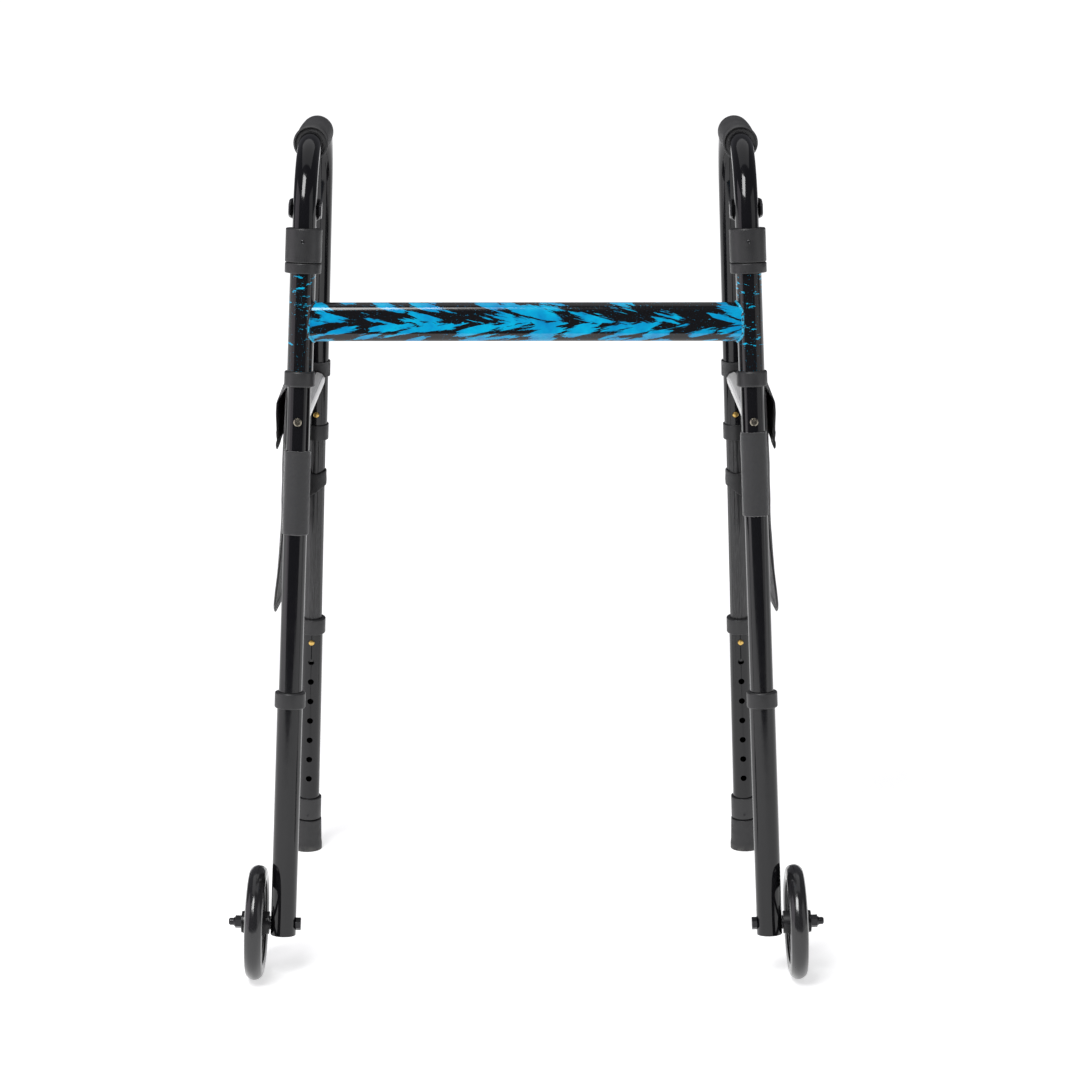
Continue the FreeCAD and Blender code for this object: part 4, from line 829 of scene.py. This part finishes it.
class WALKER_OT_welds(bpy.types.Operator):
    """Run the weld beads round the cross bar's ends"""

    bl_idname = "walker.welds"
    bl_label = "Weld Beads"

    def execute(self, context):
        low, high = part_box("cross_bar")
        middle = Vector((0, (low.y + high.y) / 2, (low.z + high.z) / 2))
        flat = (high.z - low.z - 0.021) / 2
        lean = Matrix.Rotation(-LEAN, 4, "X")
        for tag, side in SIDES:
            leg = front_leg(tag, side)
            inward = leg.inverted().to_3x3() @ Vector((-side, 0, 0))
            loop = []
            for index in range(72):
                angle = index * 2 * math.pi / 72
                deep = 0.0105 * math.cos(angle)
                tall = 0.0105 * math.sin(angle) + math.copysign(flat, math.sin(angle))
                ray = middle + lean @ Vector((0, deep, tall))
                spot = leg.inverted() @ ray
                r = 0.01402
                inside = math.sqrt(max(0.0, r * r - spot.y * spot.y))
                loop.append(leg @ (spot + inward * ((-side * inside - spot.x) / inward.x)))
            curve = bpy.data.curves.new("bead", "CURVE")
            curve.dimensions = "3D"
            curve.bevel_depth = 0.0017
            curve.bevel_resolution = 4
            spline = curve.splines.new("POLY")
            spline.points.add(len(loop) - 1)
            for index, spot in enumerate(loop):
                spline.points[index].co = (*spot, 1)
                spline.points[index].radius = 1.0 + 0.22 * math.sin(index * 2.3) + wavy(spot, 300, 0.2)
            spline.use_cyclic_u = True
            carrier = bpy.data.objects.new("bead", curve)
            bpy.context.scene.collection.objects.link(carrier)
            mesh = bpy.data.meshes.new_from_object(carrier)
            shape = bmesh.new()
            shape.from_mesh(mesh)
            bmesh.ops.remove_doubles(shape, verts=shape.verts, dist=1e-7)
            bpy.data.objects.remove(carrier)
            bpy.data.meshes.remove(mesh)
            piece(tag + "_bar_weld", shape, "painted_weld", "front_frame", None, 60)
        return {"FINISHED"}


class WALKER_OT_straps(bpy.types.Operator):
    """Wrap the pouch's wide front strap and two rear straps round the legs"""

    bl_idname = "walker.straps"
    bl_label = "Pouch Straps"

    def execute(self, context):
        for tag, side in SIDES:
            front, rear = front_leg(tag, side), rear_leg(tag, side)
            wrap_low = 0.515 if tag == "left" else 0.495
            made = self.wrap(tag + "_front_wrap", tag, side, front, 0.0128, wrap_low, 0.092, "hook_tape", 1, 4.0)
            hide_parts(tag + "_pouch_straps")
            self.wrap(tag + "_rear_strap", tag, side, rear, 0.0128, 0.6060, 0.018, "webbing", -1, 7.0)
            self.wrap(tag + "_lower_strap", tag, side, rear, 0.0112, 0.471, 0.019, "webbing", -1, 9.0, 0.017)
        return {"FINISHED"}

    def wrap(self, name, tag, side, leg, radius, low, tall, finish, rearward, seed, droop=0.0):
        """A strip once round the tube that leaves on the outer side towards the pouch."""
        lead = 0.024
        turn = 2 * math.pi * 0.93
        arc = (radius + 0.0009) * turn
        total = arc + lead

        def strip(u, v):
            at = u * total
            z = leg_height(low) + v * leg_height(tall)
            z += wavy((at * 3, seed, 0), 60, 0.0012, seed) * (0.5 if v < 0.5 else 1.0)
            loose = wavy((at, v * tall, seed), 120, 0.00035, seed) + 0.00018 * math.sin(at * 420 + seed)
            if at < arc:
                angle = at / arc * turn
                r = radius + 0.0009 + loose + 0.0008 * (at / arc)
                x, y = r * math.cos(angle), -r * math.sin(angle) * rearward
                end = angle
            else:
                over = at - arc
                r = radius + 0.0017 + loose
                end = turn
                x = r * math.cos(end) + 0.0006
                y = -r * math.sin(end) * rearward + over * rearward
                x += min(over, 0.008) * 0.10
            if droop:
                outer = 0.5 + 0.5 * min(1.0, max(-1.0, x / radius))
                z -= droop * outer * (1 - v) + 0.0035 * math.sin(math.pi * outer) * v
            return Vector((side * x, y, z))

        shape = sheet_grid(120, 10, strip, lambda u, v: (u * total, v * tall))
        made = piece(name, shape, finish, tag + "_side_frame", leg, 60)
        thicken(made, 0.0014, 0.0, 1)
        return made


class WALKER_OT_pouches(bpy.types.Operator):
    """Sew the side pouches: sagging bag, folded flap, stitched binding and rivets"""

    bl_idname = "walker.pouches"
    bl_label = "Pouches"

    def execute(self, context):
        size = context.scene.walker_pouch
        for tag, side in SIDES:
            place = side_plane(tag, side)
            body = tag + "_side_frame"

            def across(height, share, inset=0.0):
                """Y at a share of the way from the front edge to the rear edge, at a height."""
                lean = math.tan(LEAN) * height
                first = FRONT_FOOT + lean + size.gap + inset
                last = REAR_FOOT - lean - size.gap - inset
                return first + (last - first) * share

            def corner(u, v):
                """How far the bottom edge rises at its rounded corners."""
                near = min(u, 1 - u) * 0.36
                rise = 0.028 - math.sqrt(max(0.0, 0.028 ** 2 - max(0.0, 0.028 - near) ** 2))
                return rise * (1 - v) ** 2

            def flare(u, z):
                """The lower front corner stands away from the leg."""
                below = max(0.0, (0.512 - z) / 0.112)
                return 0.0088 * below ** 1.4 * max(0.0, 1 - u * 1.9) ** 1.2

            def panel(outer):
                def spot(u, v):
                    z = size.bottom * 1.0008 + v * (size.top - size.bottom) + corner(u, v)
                    sag = 0.005 * math.sin(math.pi * u) * v ** 6
                    z -= sag
                    full = (math.sin(math.pi * u) ** 0.42) * (1 - (1 - v) ** 5) * (1 - 0.28 * v ** 3)
                    a = size.inner + 0.0004
                    y = across(z, u, 0.001)
                    if outer:
                        broad = wavy((y, z * 0.5, 1.0), 16, 0.0016, 3.0)
                        folds = broad + wavy((y * 1.6, z, 2.0), 40, 0.0008, 8.0)
                        slump = 0.0011 * math.sin(y * 58 + z * 22) * (1 - v)
                        a += full * (size.depth + folds + slump)
                    else:
                        a += full * (0.0009 + wavy((y, z, 5.0), 20, 0.0005, 6.0))
                    return Vector((side * (a + flare(u, z)), y, z))
                return spot

            outer = sheet_grid(96, 72, panel(True))
            inner = sheet_grid(96, 72, panel(False))
            bag = join([outer, inner])
            bmesh.ops.remove_doubles(bag, verts=list(bag.verts), dist=1e-6)
            made = piece(tag + "_pouch_bag", bag, "pouch_cloth", body, place, 80)
            thicken(made, 0.0009, -1.0, 0)
            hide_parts(tag + "_pouch")

            profile = ((0.0130, 0.624), (0.0126, 0.642), (0.0132, 0.6500), (0.0150, 0.6512), (0.0178, 0.6478),
                       (0.0212, 0.6420), (0.0238, 0.6385), (0.0251, 0.6340), (0.0254, 0.6240), (0.0246, 0.6100),
                       (0.0234, size.flap))
            lengths = [0.0]
            for first, second in zip(profile, profile[1:]):
                lengths.append(lengths[-1] + math.dist(first, second))

            def flap(u, v):
                at = v * lengths[-1]
                index = max(i for i, l in enumerate(lengths) if l <= at + 1e-9)
                index = min(index, len(profile) - 2)
                share = (at - lengths[index]) / (lengths[index + 1] - lengths[index])
                a = profile[index][0] + (profile[index + 1][0] - profile[index][0]) * share
                z = profile[index][1] + (profile[index + 1][1] - profile[index][1]) * share
                y = across(z, u, -0.0006)
                if v > 0.4:
                    a += wavy((y, z, 9.0), 22, 0.0010, 2.0) * (v - 0.4)
                    z -= 0.0015 * math.sin(math.pi * u) * (v - 0.4)
                return Vector((side * a, y, z))

            shape = sheet_grid(110, 48, flap)
            made = piece(tag + "_pouch_flap", shape, "pouch_cloth", body, place, 80)
            thicken(made, 0.0010, 0.0, 0)

            outline = self.seam(side, across, corner, flare, size)
            self.binding(tag + "_bag_binding", body, place, outline, size.tape * 0.55)
            edge = [flap(i / 60, 1.0) for i in range(61)]
            self.binding(tag + "_flap_binding", body, place, edge, size.tape * 0.55)
            self.rivets(tag, side, body, place, across)
        return {"FINISHED"}

    def seam(self, side, across, corner, flare, size):
        """The pouch's outline: down its front edge, along the bottom and up its rear edge."""
        path = []
        for index in range(40):
            v = 1 - index / 40
            path.append((0.0, v))
        for index in range(80):
            path.append((index / 80, 0.0))
        for index in range(41):
            path.append((1.0, index / 40))
        spots = []
        for u, v in path:
            z = size.bottom * 1.0008 + v * (size.top - size.bottom) + corner(u, v)
            spots.append(Vector((side * (size.inner + 0.0004 + flare(u, z)), across(z, u, 0.001), z)))
        return spots

    def binding(self, name, body, place, path, half):
        """A folded tape over an edge, its UV map in metres along and across."""
        lengths = [0.0]
        for first, second in zip(path, path[1:]):
            lengths.append(lengths[-1] + (second - first).length)
        centre = sum(path, Vector()) / len(path)

        def tape(u, v):
            at = u * (len(path) - 1)
            index = min(int(at), len(path) - 2)
            spot = path[index].lerp(path[index + 1], at - index)
            ahead = (path[min(index + 1, len(path) - 1)] - path[max(index - 1, 0)]).normalized()
            inward = Vector((1, 0, 0)).cross(ahead).normalized()
            if inward.dot(centre - spot) < 0:
                inward.negate()
            angle = (v - 0.5) * math.pi * 2 * 0.86
            fold = Vector((1, 0, 0)) * math.sin(angle) * 0.00125 + inward * (half - half * math.cos(angle))
            return spot + fold - inward * 0.0012

        shape = sheet_grid(len(path) - 1, 12, tape, lambda u, v: (u * lengths[-1], (v - 0.5) * 4 * half))
        made = piece(name, shape, "stitched_tape", body, place, 70)
        thicken(made, 0.0006, 0.0, 0)
        return made

    def rivets(self, tag, side, body, place, across):
        """Domed snap rivets near the flap's corners and at the front strap."""
        shapes = []
        for share, height, out in ((0.04, 0.598, 0.0246), (0.96, 0.598, 0.0246), (0.5, 0.598, 0.0249)):
            dome = lathe([(0, 0.0016), (0.0024, 0.0014), (0.0042, 0.0008), (0.0048, 0.0), (0.0046, -0.0008),
                          (0, -0.0008)], 32)
            y = across(height, share)
            turn = Matrix.Rotation(math.radians(90 * side), 4, "Y")
            dome.transform(Matrix.Translation((side * out, y, height)) @ turn)
            shapes.append(dome)
        made = piece(tag + "_flap_snaps", join(shapes), "zinc_steel", body, place)
        return made


class WALKER_OT_stage(bpy.types.Operator):
    """Lay the floor and set the camera and soft lights"""

    bl_idname = "walker.stage"
    bl_label = "Floor, Camera and Lights"

    def execute(self, context):
        size = context.scene.walker_stage
        shape = bmesh.new()
        bmesh.ops.create_grid(shape, x_segments=2, y_segments=2, size=14)
        bmesh.ops.translate(shape, vec=(0, 11.4, 0), verts=shape.verts)
        mesh = bpy.data.meshes.new("floor")
        shape.to_mesh(mesh)
        shape.free()
        floor = bpy.data.objects.new("floor", mesh)
        context.scene.collection.objects.link(floor)
        mesh.materials.append(material("floor_paper"))

        camera = bpy.data.objects.new("camera", bpy.data.cameras.new("camera"))
        context.scene.collection.objects.link(camera)
        camera.data.lens = size.lens
        camera.data.sensor_width = 36
        camera.data.clip_end = 200
        camera.location = (0, -size.distance, size.height)
        camera.rotation_euler = (math.pi / 2 - size.pitch, 0, -size.yaw)
        context.scene.camera = camera

        self.softbox("overhead", (0, 1.2, 4.2), (0, 0.6, 0), 5.0, 4.0, 0.55)
        self.softbox("left_wall", (-2.9, -0.7, 0.9), (0, 0, 0.7), 2.4, 2.6, 0.95, (1.0, 0.92, 1.0))
        self.softbox("right_wall", (2.7, -1.3, 0.9), (0, 0, 0.7), 2.0, 2.6, 0.6)
        self.softbox("key", (-0.95, -2.3, 3.15), (-0.1, -0.1, 0.85), 1.5, 1.8, 13.0)
        world = bpy.data.worlds.new("studio")
        world.use_nodes = True
        world.node_tree.nodes["Background"].inputs["Color"].default_value = (0.9, 0.9, 1.0, 1)
        world.node_tree.nodes["Background"].inputs["Strength"].default_value = 0.13
        context.scene.world = world
        context.scene.view_settings.view_transform = "Standard"
        return {"FINISHED"}

    def softbox(self, name, spot, target, wide, tall, brightness, tint=(1.0, 1.0, 1.0)):
        """An area light of the given brightness that faces its target."""
        light = bpy.data.lights.new(name, "AREA")
        light.shape = "RECTANGLE"
        light.size, light.size_y = wide, tall
        light.energy = brightness * math.pi * wide * tall
        light.color = tint
        made = bpy.data.objects.new(name, light)
        made.location = spot
        made.rotation_euler = (Vector(target) - Vector(spot)).to_track_quat("-Z", "Y").to_euler()
        bpy.context.scene.collection.objects.link(made)


class WALKER_PT_panel(bpy.types.Panel):
    """Lists the steps that dress the walking frame"""

    bl_idname = "WALKER_PT_panel"
    bl_label = "Walking Frame"
    bl_space_type = "VIEW_3D"
    bl_region_type = "UI"
    bl_category = "Walking Frame"

    def draw(self, context):
        for operator in OPERATORS:
            self.layout.operator(operator.bl_idname)
        for group in ("walker_paint", "walker_grip", "walker_paddle", "walker_pouch", "walker_stage"):
            settings = getattr(context.scene, group)
            box = self.layout.box()
            for name in settings.__annotations__:
                box.prop(settings, name)


GROUPS = {
    "walker_paint": WALKER_PG_paint,
    "walker_grip": WALKER_PG_grip,
    "walker_paddle": WALKER_PG_paddle,
    "walker_pouch": WALKER_PG_pouch,
    "walker_stage": WALKER_PG_stage,
}
OPERATORS = (
    WALKER_OT_finishes,
    WALKER_OT_grips,
    WALKER_OT_paddles,
    WALKER_OT_wheels,
    WALKER_OT_brace_reflections,
    WALKER_OT_welds,
    WALKER_OT_straps,
    WALKER_OT_pouches,
    WALKER_OT_stage,
)


def register():
    for group in (*GROUPS.values(), *OPERATORS, WALKER_PT_panel):
        bpy.utils.register_class(group)
    for name, group in GROUPS.items():
        setattr(bpy.types.Scene, name, PointerProperty(type=group))


def unregister():
    for name in GROUPS:
        delattr(bpy.types.Scene, name)
    for group in reversed((*GROUPS.values(), *OPERATORS, WALKER_PT_panel)):
        bpy.utils.unregister_class(group)


def main():
    register()
    for operator in OPERATORS:
        module, name = operator.bl_idname.split(".")
        getattr(getattr(bpy.ops, module), name)()
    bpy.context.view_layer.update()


if __name__ == "__main__":
    main()
